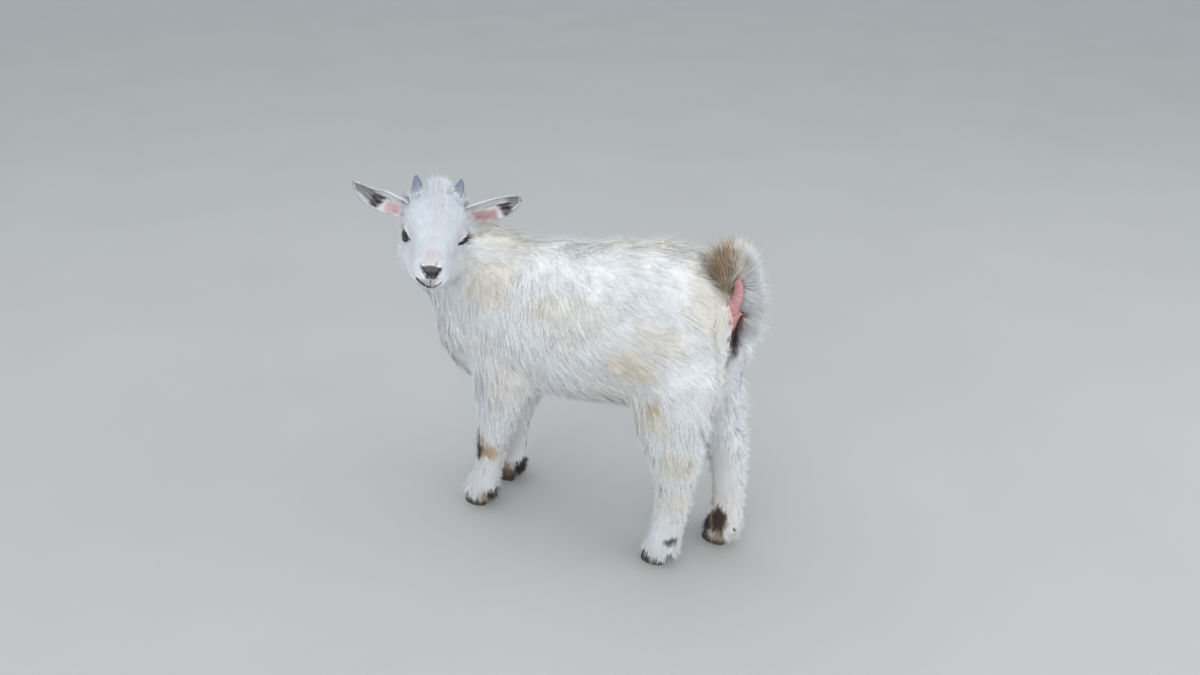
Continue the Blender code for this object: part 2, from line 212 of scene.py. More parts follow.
def relax(values, edges, passes, strength=0.5, share=1.0):
    """Moves each point's value towards the mean of its neighbours'."""
    count = np.bincount(edges.ravel(), minlength=len(values))[:, None]
    values = values.copy()
    for _ in range(passes):
        mean = np.empty_like(values)
        for axis in range(values.shape[1]):
            mean[:, axis] = (np.bincount(edges[:, 0], values[edges[:, 1], axis], len(values))
                             + np.bincount(edges[:, 1], values[edges[:, 0], axis], len(values)))
        values += share * strength * (mean / np.maximum(count, 1) - values)
    return values


def smooth(points, edges, passes, share=1.0):
    """Relaxing that doesn't shrink: each pass in is followed by one out."""
    for _ in range(passes):
        points = relax(points, edges, 1, PULL_IN, share)
        points = relax(points, edges, 1, PUSH_OUT, share)
    return points


# %% [markdown]
# ## The head's own axes
# The head is turned back over the left shoulder, tipped a little and rolled, so its details are easiest to
# place in axes that turn with it: X out through the nose, Y to the animal's left, Z up through the poll.
# The eyes and the horns are solids of their own, and their four centres fix these axes. The horns grow
# behind the eyes, so the line from eyes to horns leans back from Z by a known angle.

# %% Head axes
HORN_LEAN = math.radians(36.3)  # how far the line from eyes to horns leans back from the head's Z
EYE_AT = (0.0170, 0.0236, 0.0016)  # the left eye's centre in the head's axes
SIDES = {1: "left", -1: "right"}


def middle(node):
    """The centre of a solid's box."""
    low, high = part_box(node)
    return np.array((low + high) / 2)


def head_axes():
    """The head's origin, and its axes as the rows of a matrix."""
    eyes = (middle("eye_left") + middle("eye_right")) / 2
    horns = (middle("horn_left") + middle("horn_right")) / 2
    side = unit(middle("eye_left") - middle("eye_right"))
    rise = horns - eyes
    rise = unit(rise - side * (rise @ side))
    front = np.cross(side, rise)
    up = rise * math.cos(HORN_LEAN) + front * math.sin(HORN_LEAN)
    nose = np.cross(side, up)
    origin = eyes - nose * EYE_AT[0] - up * EYE_AT[2]
    return origin, np.array((nose, side, up))


HEAD_ORIGIN, HEAD = head_axes()


def to_head(points):
    """From the model's frame to the head's."""
    return (points - HEAD_ORIGIN) @ HEAD.T


def from_head(points):
    """From the head's frame to the model's."""
    return np.asarray(points) @ HEAD + HEAD_ORIGIN


print("the nose points", np.round(HEAD[0], 3), "from", np.round(HEAD_ORIGIN, 4))

# %% [markdown]
# ## Balls and tubes
# Two simple closed forms help to build the hide and the lids: a ball, and a tube swept along a path.
# Blender has both ready, but as objects. Here they are made as arrays, so that they can be turned and
# joined with others.

# %% Closed forms
def ball(centre, radius, rings=20):
    """A sphere of triangles."""
    bm = bmesh.new()
    bmesh.ops.create_uvsphere(bm, u_segments=rings * 2, v_segments=rings, radius=radius)
    points, faces = read_bmesh(bm)
    return points + np.asarray(centre), faces


def mirrored(point, side):
    """A point given for the animal's left, moved to side (1 left, -1 right)."""
    return np.array((point[0], side * point[1], point[2]))


def tube(path, radii, sides, across=None, closed=False):
    """Rings of points swept along a path, with a point at each open end. Radii may be pairs."""
    path = np.asarray(path, float)
    radii = np.asarray(radii, float)
    if radii.ndim == 1:
        radii = np.stack((radii, radii), 1)
    if closed:
        run = unit(np.roll(path, -1, 0) - np.roll(path, 1, 0))
    else:
        run = unit(np.gradient(path, axis=0))
    guide = np.asarray(across if across is not None else (0.0, 1.0, 0.0))
    first = unit(guide - run * (run @ guide)[:, None])
    second = np.cross(run, first)
    turn = np.linspace(0.0, math.tau, sides, endpoint=False)
    ring = (first[:, None] * np.cos(turn)[:, None] * radii[:, :1, None]
            + second[:, None] * np.sin(turn)[:, None] * radii[:, 1:, None])
    points = (path[:, None] + ring).reshape(-1, 3)
    faces = []
    steps = len(path) if closed else len(path) - 1
    for i in range(steps):
        low = i * sides
        high = ((i + 1) % len(path)) * sides
        for k in range(sides):
            n = (k + 1) % sides
            faces.append((low + k, low + n, high + n))
            faces.append((low + k, high + n, high + k))
    if not closed:
        start, end = len(points), len(points) + 1
        points = np.concatenate((points, path[:1], path[-1:]))
        last = (len(path) - 1) * sides
        for k in range(sides):
            n = (k + 1) % sides
            faces.append((start, n, k))
            faces.append((end, last + k, last + n))
    return points, np.array(faces)


print("a tube's faces:", len(tube(((0, 0, 0), (1, 0, 0)), (1, 1), 8)[1]))

# %% [markdown]
# ## One skin under the coat
# On the animal one hide covers everything, so no seam may show between neck and trunk. A Boolean union
# would keep the solids' facets, and a sculpt couldn't be repeated. A voxel remesh does both jobs: it fuses
# the parts and lays an even net over them. Balls fill the sockets of the eyes and the roots of horns and
# ears. A short core stands in for the tail's bone, since the tail's solid is mostly hair, and a thin tube
# for the fold of bare skin below it.

# %% Parts of the hide
LEGS = ["leg_front_left", "leg_front_right", "leg_hind_left", "leg_hind_right"]
FLESH = ["trunk", "neck", "head", *LEGS, "tail"]
PART = {name: k for k, name in enumerate(FLESH)}
OVERLAP = 0.0005  # how far each part is fattened, to close the cuts between them
GRAIN = 0.0032  # spacing of the body's net
EYE_RADIUS = 0.0104
EYE_SINK = 0.0011  # how far the eye sits behind its solid's centre
HORN_ROOT = (-0.0125, 0.0200, 0.0345)
EAR_ROOT = (-0.0165, 0.0270, 0.0225)
PLUGS = ((EYE_AT, 0.0117), (HORN_ROOT, 0.0070), (EAR_ROOT, 0.0110))  # places and radii of balls in the head


def inside(node, *fractions):
    """The point at fractions of a solid's box."""
    low, high = (np.array(corner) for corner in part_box(node))
    return low + (high - low) * np.array(fractions)


def shares_of_box(points, node):
    """Where points lie in a solid's box, from 0 to 1 along each axis."""
    low, high = (np.array(corner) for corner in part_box(node))
    return (points - low) / (high - low)


# places along X and Z of the tail's box
TAIL_CORE = ((0.20, -0.30), (0.46, 0.02), (0.66, 0.30), (0.69, 0.52), (0.61, 0.72), (0.50, 0.84))
TAIL_WIDE = (0.0130, 0.0115, 0.0100, 0.0085, 0.0065, 0.0030)
FLATTENED = 0.62  # the core's radius along X as a share of that along Y
# places in the tail's box
FOLD = ((0.69, 0.25, 0.57), (0.735, 0.277, 0.478), (0.743, 0.269, 0.366),
        (0.726, 0.25, 0.248), (0.692, 0.264, 0.126), (0.682, 0.279, 0.009),
        (0.686, 0.277, -0.098), (0.690, 0.270, -0.219), (0.684, 0.284, -0.389))
FOLD_WIDE = (0.0035, 0.0046, 0.0052, 0.0052, 0.0050, 0.0048, 0.0042, 0.0030, 0.0018)
tail_path = np.array([inside("tail", x, 0.5, z) for x, z in TAIL_CORE])
fold_path = np.array([inside("tail", *place) for place in FOLD])


def off_path(points, path):
    """How far points lie from a path of straight pieces, in metres."""
    nearest = np.full(len(points), 1.0)
    for start, end in zip(path[:-1], path[1:]):
        share = np.clip((points - start) @ (end - start) / ((end - start) @ (end - start)), 0.0, 1.0)
        away = lengths_of(points - start - column(share) * (end - start))
        nearest = np.minimum(nearest, away)
    return nearest


def hide_parts():
    """Every closed form that the skin is fused from."""
    parts = []
    for name in [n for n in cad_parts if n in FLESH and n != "tail" or n.startswith("dewclaw")]:
        points, faces = node_mesh(name)
        parts.append((points + normals_of(points, faces) * OVERLAP, faces))
    for side in SIDES:
        for place, radius in PLUGS:
            parts.append(ball(from_head(mirrored(place, side)), radius))
    parts.append(tube(tail_path, [(w, w * FLATTENED) for w in TAIL_WIDE], 16))
    parts.append(tube(fold_path, FOLD_WIDE, 14))
    return parts


# %% [markdown]
# ### Fuse the forms
# The remesh modifier fills all the overlapping forms with small cubes and wraps one skin of squares round
# them. Its cubes are about three millimetres wide: small enough for hocks and knees, and the coat hides the
# rest.

# %% Fuse them
def modified(points, faces, kind, **settings):
    """A mesh after one modifier, as a bmesh."""
    rough = piece("rough", points, faces)
    modifier = rough.modifiers.new("shape", kind)
    for name, value in settings.items():
        setattr(modifier, name, value)
    bm = bmesh.new()
    bm.from_object(rough, bpy.context.evaluated_depsgraph_get())
    bpy.data.objects.remove(rough)
    return bm


def fused(parts, grain):
    """One quad net round several overlapping closed forms, as a bmesh."""
    return modified(*together(parts), "REMESH", mode="VOXEL", voxel_size=grain)


hide = fused(hide_parts(), GRAIN)
hide.verts.index_update()
skin = np.array([v.co[:] for v in hide.verts])
quads = np.array([[v.index for v in f.verts] for f in hide.faces if len(f.verts) == 4])
hide.free()
print("fused hide:", len(skin), "points", len(quads), "quads")

# %% [markdown]
# ### Which part each point belongs to
# Depth, lie and length of the coat differ from part to part, but they mustn't jump at the cuts. Each point
# asks which solid is nearest, which gives a hard 0 or 1 for each part, and relaxing these shares over the
# net turns the borders into soft ramps a few centimetres wide.

# %% Shares of the parts
def part_shares(points):
    """For each point and each part of FLESH: 1 for the nearest solid, 0 for the others."""
    solids = [node_mesh(name) for name in FLESH]
    owner = np.concatenate([np.full(len(faces), k) for k, (_, faces) in enumerate(solids)])
    all_points, all_faces = together(solids)
    tree = BVHTree.FromPolygons(all_points.tolist(), all_faces.tolist())
    nearest = [tree.find_nearest(point)[2] for point in points.tolist()]
    return np.eye(len(FLESH))[owner[nearest]]


net = edges_of(quads)
shares = relax(part_shares(skin), net, 14)
print("shares of the parts:", dict(zip(FLESH, shares.mean(0).round(3))))

# %% [markdown]
# ### Make room for the coat
# The solids are as large as the furry animal, so the hide has to lie deeper by the thickness of the coat:
# most on trunk and neck, hardly at all on the muzzle and the feet. It sinks along its own normals in a few
# steps, smoothed after each. Last comes the hollow between the buttocks, which the fold of bare skin runs
# down.

# %% Sink the skin
def coat_depth(points, shares):
    """How far the skin lies inside the tips of the coat."""
    head = to_head(points)
    muzzle = ease(head[:, 0], 0.005, 0.045)
    back_of_head = ease(head[:, 0], -0.015, -0.035)
    height = points[:, 2]
    depth = {name: 0.0010 + 0.0020 * ease(height, 0.035, 0.19) for name in LEGS}
    depth["trunk"] = 0.0024
    depth["neck"] = 0.0024
    depth["head"] = 0.0020 - 0.0012 * muzzle + 0.0015 * back_of_head
    depth["tail"] = 0.0
    return sum(shares[:, k] * depth[name] for k, name in enumerate(FLESH))


def corners(quads):
    """Quads as triangles."""
    return np.concatenate((quads[:, (0, 1, 2)], quads[:, (0, 2, 3)]))


skin = smooth(skin, net, 8)
above_hooves = ease(skin[:, 2], 0.016, 0.030)[:, None]
SINK_STEPS = 3
for _ in range(SINK_STEPS):
    inward = normals_of(skin, corners(quads)) * coat_depth(skin, shares)[:, None]
    skin = skin - inward * above_hooves / SINK_STEPS
    skin = smooth(skin, net, 2, above_hooves)


def upright(points, low, high):
    """1 between two heights above the foot of the tail's solid, on the rump's rear, 0 elsewhere."""
    height = points[:, 2] - inside("tail", 0, 0, 0)[2]
    behind = ease(points[:, 0], *(inside("tail", share, 0, 0)[0] for share in (0.36, 0.55)))
    return ease(height, low, low + 0.015) * ease(height, high, high - 0.012) * behind


HOLLOW = 0.0085  # depth of the hollow between the buttocks
MIDDLE = inside("tail", 0, 0.5, 0)[1]
across_rump = np.abs(skin[:, 1] - MIDDLE - 0.003)
skin[:, 0] -= HOLLOW * upright(skin, -0.050, 0.015) * ease(across_rump, 0.0130, 0.0050)
skin = smooth(skin, net, 3, above_hooves)
print("skin box:", skin.min(0).round(4), skin.max(0).round(4))

# %% [markdown]
# ### A finer net on the face
# Three millimetres is enough under fur but far too coarse for lids and nostrils. Only the faces that need
# it are split: once over the head, twice on the muzzle and round the eyes, and three times at the lids
# themselves. The same three tests would be painted as masks if this were done by hand.

# %% Refine the head
GAZE = (0.387, 0.912, 0.125)  # out of the left eye, in the head's frame
TO_CORNER = (-0.0195, 0.0115, 0.0072)  # towards its outer corner


def eye_axes(side):
    """An eye's centre, and rows out along its gaze, to its outer corner and up, in the head's frame."""
    gaze = unit(mirrored(GAZE, side))
    outward = mirrored(TO_CORNER, side)
    outward = unit(outward - gaze * (outward @ gaze))
    up = np.cross(gaze, outward) * side
    up *= np.sign(up[2])
    centre = mirrored(EYE_AT, side) - gaze * EYE_SINK
    return centre, np.array((gaze, outward, up))


EYES = {1: eye_axes(1), -1: eye_axes(-1)}


def near_eyes(head, reach, facing=-2.0):
    """Whether points lie within reach of an eye, on the side that it looks to."""
    found = np.zeros(len(head), bool)
    for centre, axes in EYES.values():
        away = head - centre
        distance = lengths_of(away)
        found |= (distance < reach) & (away @ axes[0] > facing * distance)
    return found


def on_head(head):
    """Whether points, given in the head's frame, are on the head and not on the neck."""
    return (head[:, 0] > -0.034) & (np.abs(head[:, 1]) < 0.046) & (np.abs(head[:, 2]) < 0.052)


def on_muzzle(head):
    """Whether points are on the muzzle or close round the eyes."""
    return (head[:, 0] > 0.056) & (head[:, 2] > -0.040) | near_eyes(head, 0.0200, 0.0)


def refined(points, quads, tests):
    """Splits the faces that each test picks, one test after another, and gives triangles."""
    rough = piece("rough", points, quads)
    bm = bmesh.new()
    bm.from_mesh(rough.data)
    bpy.data.objects.remove(rough)
    for test in tests:
        bm.faces.ensure_lookup_table()
        centres = np.array([f.calc_center_median()[:] for f in bm.faces])
        picked = np.flatnonzero(test(to_head(centres)))
        edges = list({e for k in picked for e in bm.faces[k].edges})
        bmesh.ops.subdivide_edges(bm, edges=edges, cuts=1, use_grid_fill=True)
    return read_bmesh(bm)


coarse = skin
skin, skin_faces = refined(skin, quads, (on_head, on_muzzle, lambda head: near_eyes(head, 0.0150, 0.15)))
shares = shares[nearest_of(skin, coarse)]
on_core = ease(off_path(skin, tail_path[1:]), 0.0175, 0.0125)
from_tail = shares[:, PART["tail"]] * (1.0 - on_core)  # only the core counts as tail: round it lies the rump
shares[:, PART["trunk"]] += from_tail
shares[:, PART["tail"]] -= from_tail
net = edges_of(skin_faces)
shares = relax(shares, net, 6)
head_share = ease(shares[:, PART["head"]], 0.3, 0.8)[:, None]
skin = smooth(skin, net, 10, head_share)
print("refined hide:", len(skin), "points", len(skin_faces), "triangles")

# %% [markdown]
# ### Nose and mouth
# A kid's nose is a small bare pad between two comma-shaped nostrils, with a groove down to the upper lip.
# The mouth is a dark line that rises towards its corners. They could be carved with a brush. Here each is a
# short rule in the head's axes, which gives a depth to press the skin in by, and later serves again as a
# mask.

# %% Nose and mouth
PAD_TOP = -0.0012  # heights in the head's frame
PAD_FOOT = -0.0146
MOUTH_FRONT = -0.0243
MOUTH_SIDE = -0.0160
FACE_FROM = 0.045  # how far forward the front of the face begins
NOSTRIL_DEPTH = 0.0022
GROOVE_DEPTH = 0.0006
PAD_LIFT = 0.0004
MOUTH_DEPTH = 0.0014


def nose_pad(head, soft=0.0005):
    """1 on the bare pad of the nose, 0 off it, with a soft border."""
    y, z = np.abs(head[:, 1]), head[:, 2]
    widest = PAD_TOP - 0.0040
    half = 0.0046 + 0.0054 * ease(z, PAD_FOOT - 0.0005, widest) - 0.0020 * ease(z, widest, PAD_TOP)
    top = PAD_TOP - 0.0030 * (y / 0.0100) ** 2
    inside = np.minimum(half - y, np.minimum(top - z, z - PAD_FOOT))
    return ease(inside, -soft, 0.0010) * ease(head[:, 0], 0.070, 0.074)


def nostril(head):
    """1 along each comma, from low near the middle to high at the side."""
    y, z = np.abs(head[:, 1]), head[:, 2]
    depth = np.zeros(len(head))
    for share in np.linspace(0.0, 1.0, 12):
        comma_y = 0.0046 + 0.0044 * share
        comma_z = -0.0112 + 0.0072 * share ** 1.5
        width = 0.0011 + 0.0008 * math.sin(math.pi * share)
        distance = np.hypot(y - comma_y, z - comma_z)
        depth = np.maximum(depth, 1.0 - ease(distance, width * 0.4, width * 1.5))
    return depth * ease(head[:, 0], 0.068, 0.074)


def mouth_line(head):
    """Distance from the line between the lips, as if it were equally thick all along."""
    y = np.abs(head[:, 1])
    line = MOUTH_FRONT + (MOUTH_SIDE - MOUTH_FRONT) * ease(y, 0.001, 0.0155)
    line = line - 0.010 * ease(head[:, 0], 0.078, 0.050)
    corner = np.maximum(0.053 - head[:, 0], 0.0)
    thick = 1.0 + 0.6 * ease(head[:, 1], 0.005, -0.005) - 0.4 * ease(y, 0.010, 0.015)
    return np.hypot(head[:, 2] - line, corner * 1.5) / thick


def philtrum(head):
    """1 in the groove from the pad to the upper lip."""
    reach = (head[:, 2] < -0.006) & (head[:, 2] > MOUTH_FRONT) & (head[:, 0] > 0.075)
    return (1.0 - ease(np.abs(head[:, 1]), 0.0003, 0.0012)) * reach


head = to_head(skin)
facing = normals_of(skin, skin_faces)
on_face = (on_head(head) & (head[:, 0] > FACE_FROM)).astype(float)
cut = NOSTRIL_DEPTH * nostril(head) + GROOVE_DEPTH * philtrum(head) - PAD_LIFT * nose_pad(head)
cut += MOUTH_DEPTH * (1.0 - ease(mouth_line(head), 0.0002, 0.0014))
skin = skin - facing * (cut * on_face)[:, None]
skin = relax(skin, net, 2, 0.4, (on_face * (nose_pad(head) > 0.02))[:, None])
print("nose and mouth reach", int(on_face.sum()), "points")

# %% [markdown]
# ### Lids
# The lids hug the eyeball: inside the almond of the opening the skin dives behind the ball, at its rim it
# stands a millimetre proud, and further out it eases back into the cheek. Angles from the gaze describe
# this better than lengths do, since everything here is wrapped round a ball. The left eye is half closed,
# as in a kid that squints at the light.

# %% Lids
CORNER = math.radians(65)  # half the opening, from the gaze out to either corner
UPPER = math.radians(29)
LOWER = math.radians(38)
OPENNESS = {1: (0.62, 0.42), -1: (1.0, 1.0)}  # upper and lower lid of the left and right eye
SOCKET = EYE_RADIUS + 0.0004  # bare skin lies no nearer than this to an eye's centre


def lid_edges(across, side):
    """Angles of the upper and lower lid at an angle across the eye."""
    share = np.clip(np.abs(across) / CORNER, 0.0, 1.0)
    arch = (1.0 - share ** 2) ** 0.75
    upper, lower = OPENNESS[side]
    return UPPER * upper * arch, -LOWER * lower * arch


def eye_angles(head, side):
    """Distance from an eye's centre, and the angles across and up from its gaze."""
    centre, axes = EYES[side]
    local = (head - centre) @ axes.T
    distance = lengths_of(local)
    turn = np.arccos(np.clip(local[:, 0] / np.maximum(distance, 1e-9), -1.0, 1.0))
    round_gaze = np.arctan2(local[:, 2], local[:, 1])
    return distance, turn * np.cos(round_gaze), turn * np.sin(round_gaze)


def off_gaze(angle, heading):
    """Directions at an angle from an eye's gaze and a heading round it, in the eye's own axes."""
    return np.stack((np.cos(angle), np.sin(angle) * np.cos(heading), np.sin(angle) * np.sin(heading)), -1)


def beyond_lids(head, side):
    """How far outside the opening a point lies, in metres; negative inside it."""
    distance, across, up = eye_angles(head, side)
    upper, lower = lid_edges(across, side)
    past = np.abs(across) - CORNER
    outside = np.where(past > 0, np.hypot(past, up), np.maximum(np.maximum(up - upper, lower - up), past))
    return outside * EYE_RADIUS, distance, across, up


def past_lids(head):
    """How far outside the nearer eye's opening points lie."""
    return np.minimum(beyond_lids(head, 1)[0], beyond_lids(head, -1)[0])


print("half an opening is", round(math.degrees(CORNER)), "degrees wide")

# %% [markdown]
# ### Lay the skin over the eyeballs
# Each point near an eye keeps its direction from the eye's centre, and only its distance changes: to the
# lid's height at the opening, then gradually back to where it was. A few passes of relaxing smooth what was
# pulled, and any point that has sunk into the ball is lifted out of it.

# %% Drape the lids
def draped(head, side):
    """The head's points with the skin laid over one eyeball."""
    outside, distance, across, up = beyond_lids(head, side)
    centre, _ = EYES[side]
    lid = EYE_RADIUS + 0.0003 + 0.0008 * ease(outside, 0.0, 0.0009)
    lid = lid - 0.0006 * np.exp(-((outside - 0.0034) / 0.0009) ** 2) * (up > 0)
    lid = lid - 0.0016 * ease(-outside, 0.0, 0.0010)
    natural = np.maximum(distance, SOCKET)
    blend = ease(outside, 0.0016, 0.0075)
    wanted = lid * (1.0 - blend) + natural * blend
    reach = (distance < EYE_RADIUS + 0.012) & (np.hypot(across, up) < math.radians(105))
    near = reach.astype(float) * (1.0 - ease(np.hypot(across, up), math.radians(85), math.radians(105)))
    moved = centre + (head - centre) * (wanted / np.maximum(distance, 1e-9))[:, None]
    return head + (moved - head) * near[:, None]


head = to_head(skin)
for side in EYES:
    head = draped(head, side)
around_eyes = near_eyes(head, 0.024, 0.0) & (past_lids(head) > 0.0012)
skin = relax(from_head(head), net, 5, 0.5, around_eyes.astype(float)[:, None])
head = to_head(skin)
for side in EYES:
    centre = EYES[side][0]
    distance = lengths_of(head - centre)
    outside = beyond_lids(head, side)[0]
    bare = (distance < SOCKET) & (outside > 0.0002) & (distance > EYE_RADIUS * 0.6)
    head = np.where(bare[:, None], centre + unit(head - centre) * SOCKET, head)
skin = from_head(head)
print("lids laid over both eyes")

# %% [markdown]
# ### Rims of the lids
# Round the opening of an eye runs the dark wet edge of the lid. A thin tube stands for it, bent along the
# almond of the opening. It joins the skin's mesh without being fused with it, and it hides where the net's
# triangles cross the edge.

# %% Lid rims
RIM = 0.00062  # the rim's radius


def lid_rim(side):
    """The dark rim of one eye's opening, as a thin closed tube."""
    centre, axes = EYES[side]
    path = []
    for turn in np.linspace(0.0, math.tau, 72, endpoint=False):
        across = CORNER * math.cos(turn)
        upper, lower = lid_edges(np.array([across]), side)
        up = upper[0] if math.sin(turn) > 0 else lower[0]
        way = off_gaze(math.hypot(across, up), math.atan2(up, across))
        path.append(centre + (EYE_RADIUS + 0.0005) * (way @ axes))
    return tube(path, np.full(len(path), RIM), 8, axes[0], closed=True)


# %% [markdown]
# ### Ears
# An ear is gristle about a millimetre and a half thick, rolled like a horn at its root and nearly flat at
# its tip. The remesh would have eaten it, so it is built as a leaf of two sheets that are sewn at their
# rim, with its root inside the head. Two numbers say where a point of the leaf is: t from root to tip and k
# across.

# %% Ears
EAR_AT = (-0.0100, 0.0300, 0.0190)
EAR_ALONG = (-0.204, 0.942, 0.266)  # from root to tip, for the left ear
EAR_OPENING = (0.842, 0.307, -0.442)  # out of its hollow
EAR_LENGTH = 0.0590
EAR_WIDTH = 0.0390
EAR_THICK = 0.0016
EAR_STEPS = 44
EAR_CROSS = 26


def ear_frame(side):
    """Directions along the ear, across it to its upper edge and out of its opening, in the head's frame."""
    along = unit(np.array(EAR_ALONG))
    opening = np.array(EAR_OPENING)
    opening = unit(opening - along * (opening @ along))
    across = np.cross(opening, along)
    return tuple(mirrored(way, side) for way in (along, across, opening))


def ear_point(side, t, k, lift=0.0):
    """A point of the ear: t from root to tip, k from -0.5 to 0.5 across, lift out of its middle sheet."""
    along, across, opening = ear_frame(side)
    tip = np.sqrt(np.maximum(0.0, 1.0 - (np.maximum(t - 0.50, 0.0) / 0.52) ** 2.4))
    flat = EAR_WIDTH * (0.82 + 0.20 * np.sin(3.4 * t) - 0.06 * t) * tip
    roll = np.radians(168.0 - 104.0 * t ** 0.5)
    radius = flat / roll
    angle = roll * k
    reach = radius - lift
    middle = EAR_LENGTH * t[:, None] * along - (0.0018 + 0.0042 * (1.0 - t) ** 2)[:, None] * opening
    concave = 1.0 - 0.30 * (side < 0) * (k > 0) * ease(t, 0.35, 0.65) * ease(t, 1.0, 0.85)
    sideways = (reach * concave * np.sin(angle))[:, None] * across
    outward = (radius - reach * np.cos(angle))[:, None] * opening
    return mirrored(EAR_AT, side) + middle + sideways + outward


def ear_sheets(side):
    """The ear's inner and outer sheets sewn at their rim, with t, k and an inner share for each point."""
    steps, crossing = np.linspace(0.0, 1.0, EAR_STEPS) ** 0.9, np.linspace(-0.5, 0.5, EAR_CROSS)
    t, k = np.meshgrid(steps, crossing, indexing="ij")
    t, k = t.ravel(), k.ravel()
    rim = np.minimum(ease(np.abs(k), 0.5, 0.44), ease(t, 1.0, 0.95))
    half = EAR_THICK / 2 * (0.25 + 0.75 * rim)
    ridges = 0.0003 * np.sin(k * 26.0 + 1.0) * ease(t, 0.1, 0.3) * ease(t, 0.95, 0.7)
    crease = np.exp(-((k + 0.24 - 0.10 * t) / 0.045) ** 2)
    ridges -= 0.0010 * crease * ease(t, 0.0, 0.08) * ease(t, 0.50, 0.30)
    sheets = [ear_point(side, t, k, half + ridges), ear_point(side, t, k, -half)]
    index = np.arange(EAR_STEPS * EAR_CROSS).reshape(EAR_STEPS, EAR_CROSS)
    cells = np.stack((index[:-1, :-1], index[:-1, 1:], index[1:, 1:], index[1:, :-1]), -1).reshape(-1, 4)
    inner = corners(cells)
    outer = inner[:, ::-1] + len(t)
    border = np.concatenate((index[0, :], index[1:, -1], index[-1, -2::-1], index[-2:0:-1, 0]))
    ahead = np.roll(border, -1)
    seam = np.concatenate((np.stack((ahead, border, border + len(t)), 1),
                           np.stack((ahead, border + len(t), ahead + len(t)), 1)))
    faces = np.concatenate((inner, outer, seam))
    points = np.concatenate(sheets)
    spread = np.stack((np.tile(t, 2), np.tile(k, 2), np.repeat((1.0, 0.0), len(t))), 1)
    if side < 0:
        faces = faces[:, ::-1]
    return points, faces, spread


def outward_faces(points, faces):
    """The same faces, turned if the closed form is inside out."""
    a, b, c = (points[faces[:, k]] for k in range(3))
    volume = np.einsum("ij,ij->i", a, np.cross(b, c)).sum()
    return faces if volume > 0 else faces[:, ::-1]


# %% [markdown]
# ### Join rims and ears to the skin
# They become part of the same mesh, so skin, lids and ears share one material and one map. Two arrays
# remember what each point is: its place on an ear, or -1 off the ears, and whether it is on a lid's rim.

# %% Join the shells to the skin
OFF_EAR = (0.0, 0.0, -1.0)
skin_parts = [(skin, skin_faces)]
ear_spread = [np.tile(OFF_EAR, (len(skin), 1))]
rim_share = [np.zeros(len(skin))]
shells = [(*lid_rim(side), None) for side in SIDES] + [ear_sheets(side) for side in SIDES]
for points, faces, spread in shells:
    points = from_head(points)
    skin_parts.append((points, outward_faces(points, faces)))
    ear_spread.append(np.tile(OFF_EAR, (len(points), 1)) if spread is None else spread)
    rim_share.append(np.full(len(points), float(spread is None)))
hide_count = len(skin)
skin, skin_faces = together(skin_parts)
ear_spread = np.concatenate(ear_spread)
rim_share = np.concatenate(rim_share)
head_only = np.eye(len(FLESH))[np.full(len(skin) - hide_count, PART["head"])]
shares = np.concatenate((shares, head_only))
net = edges_of(skin_faces)
print("skin with ears:", len(skin), "points", len(skin_faces), "triangles")

# %% [markdown]
# ## Markings
# The kid is white, with cream on its back and neck, a tan wash at the flank, a brown patch on the knee and
# dark feet. Skin and coat must agree, so one function gives four amounts for any point: cream, tan, dark
# and pink. It works from spots, each tied to a place in a solid's box and softened by smooth noise. An
# image would do this too, but it couldn't follow the model if its sizes changed.

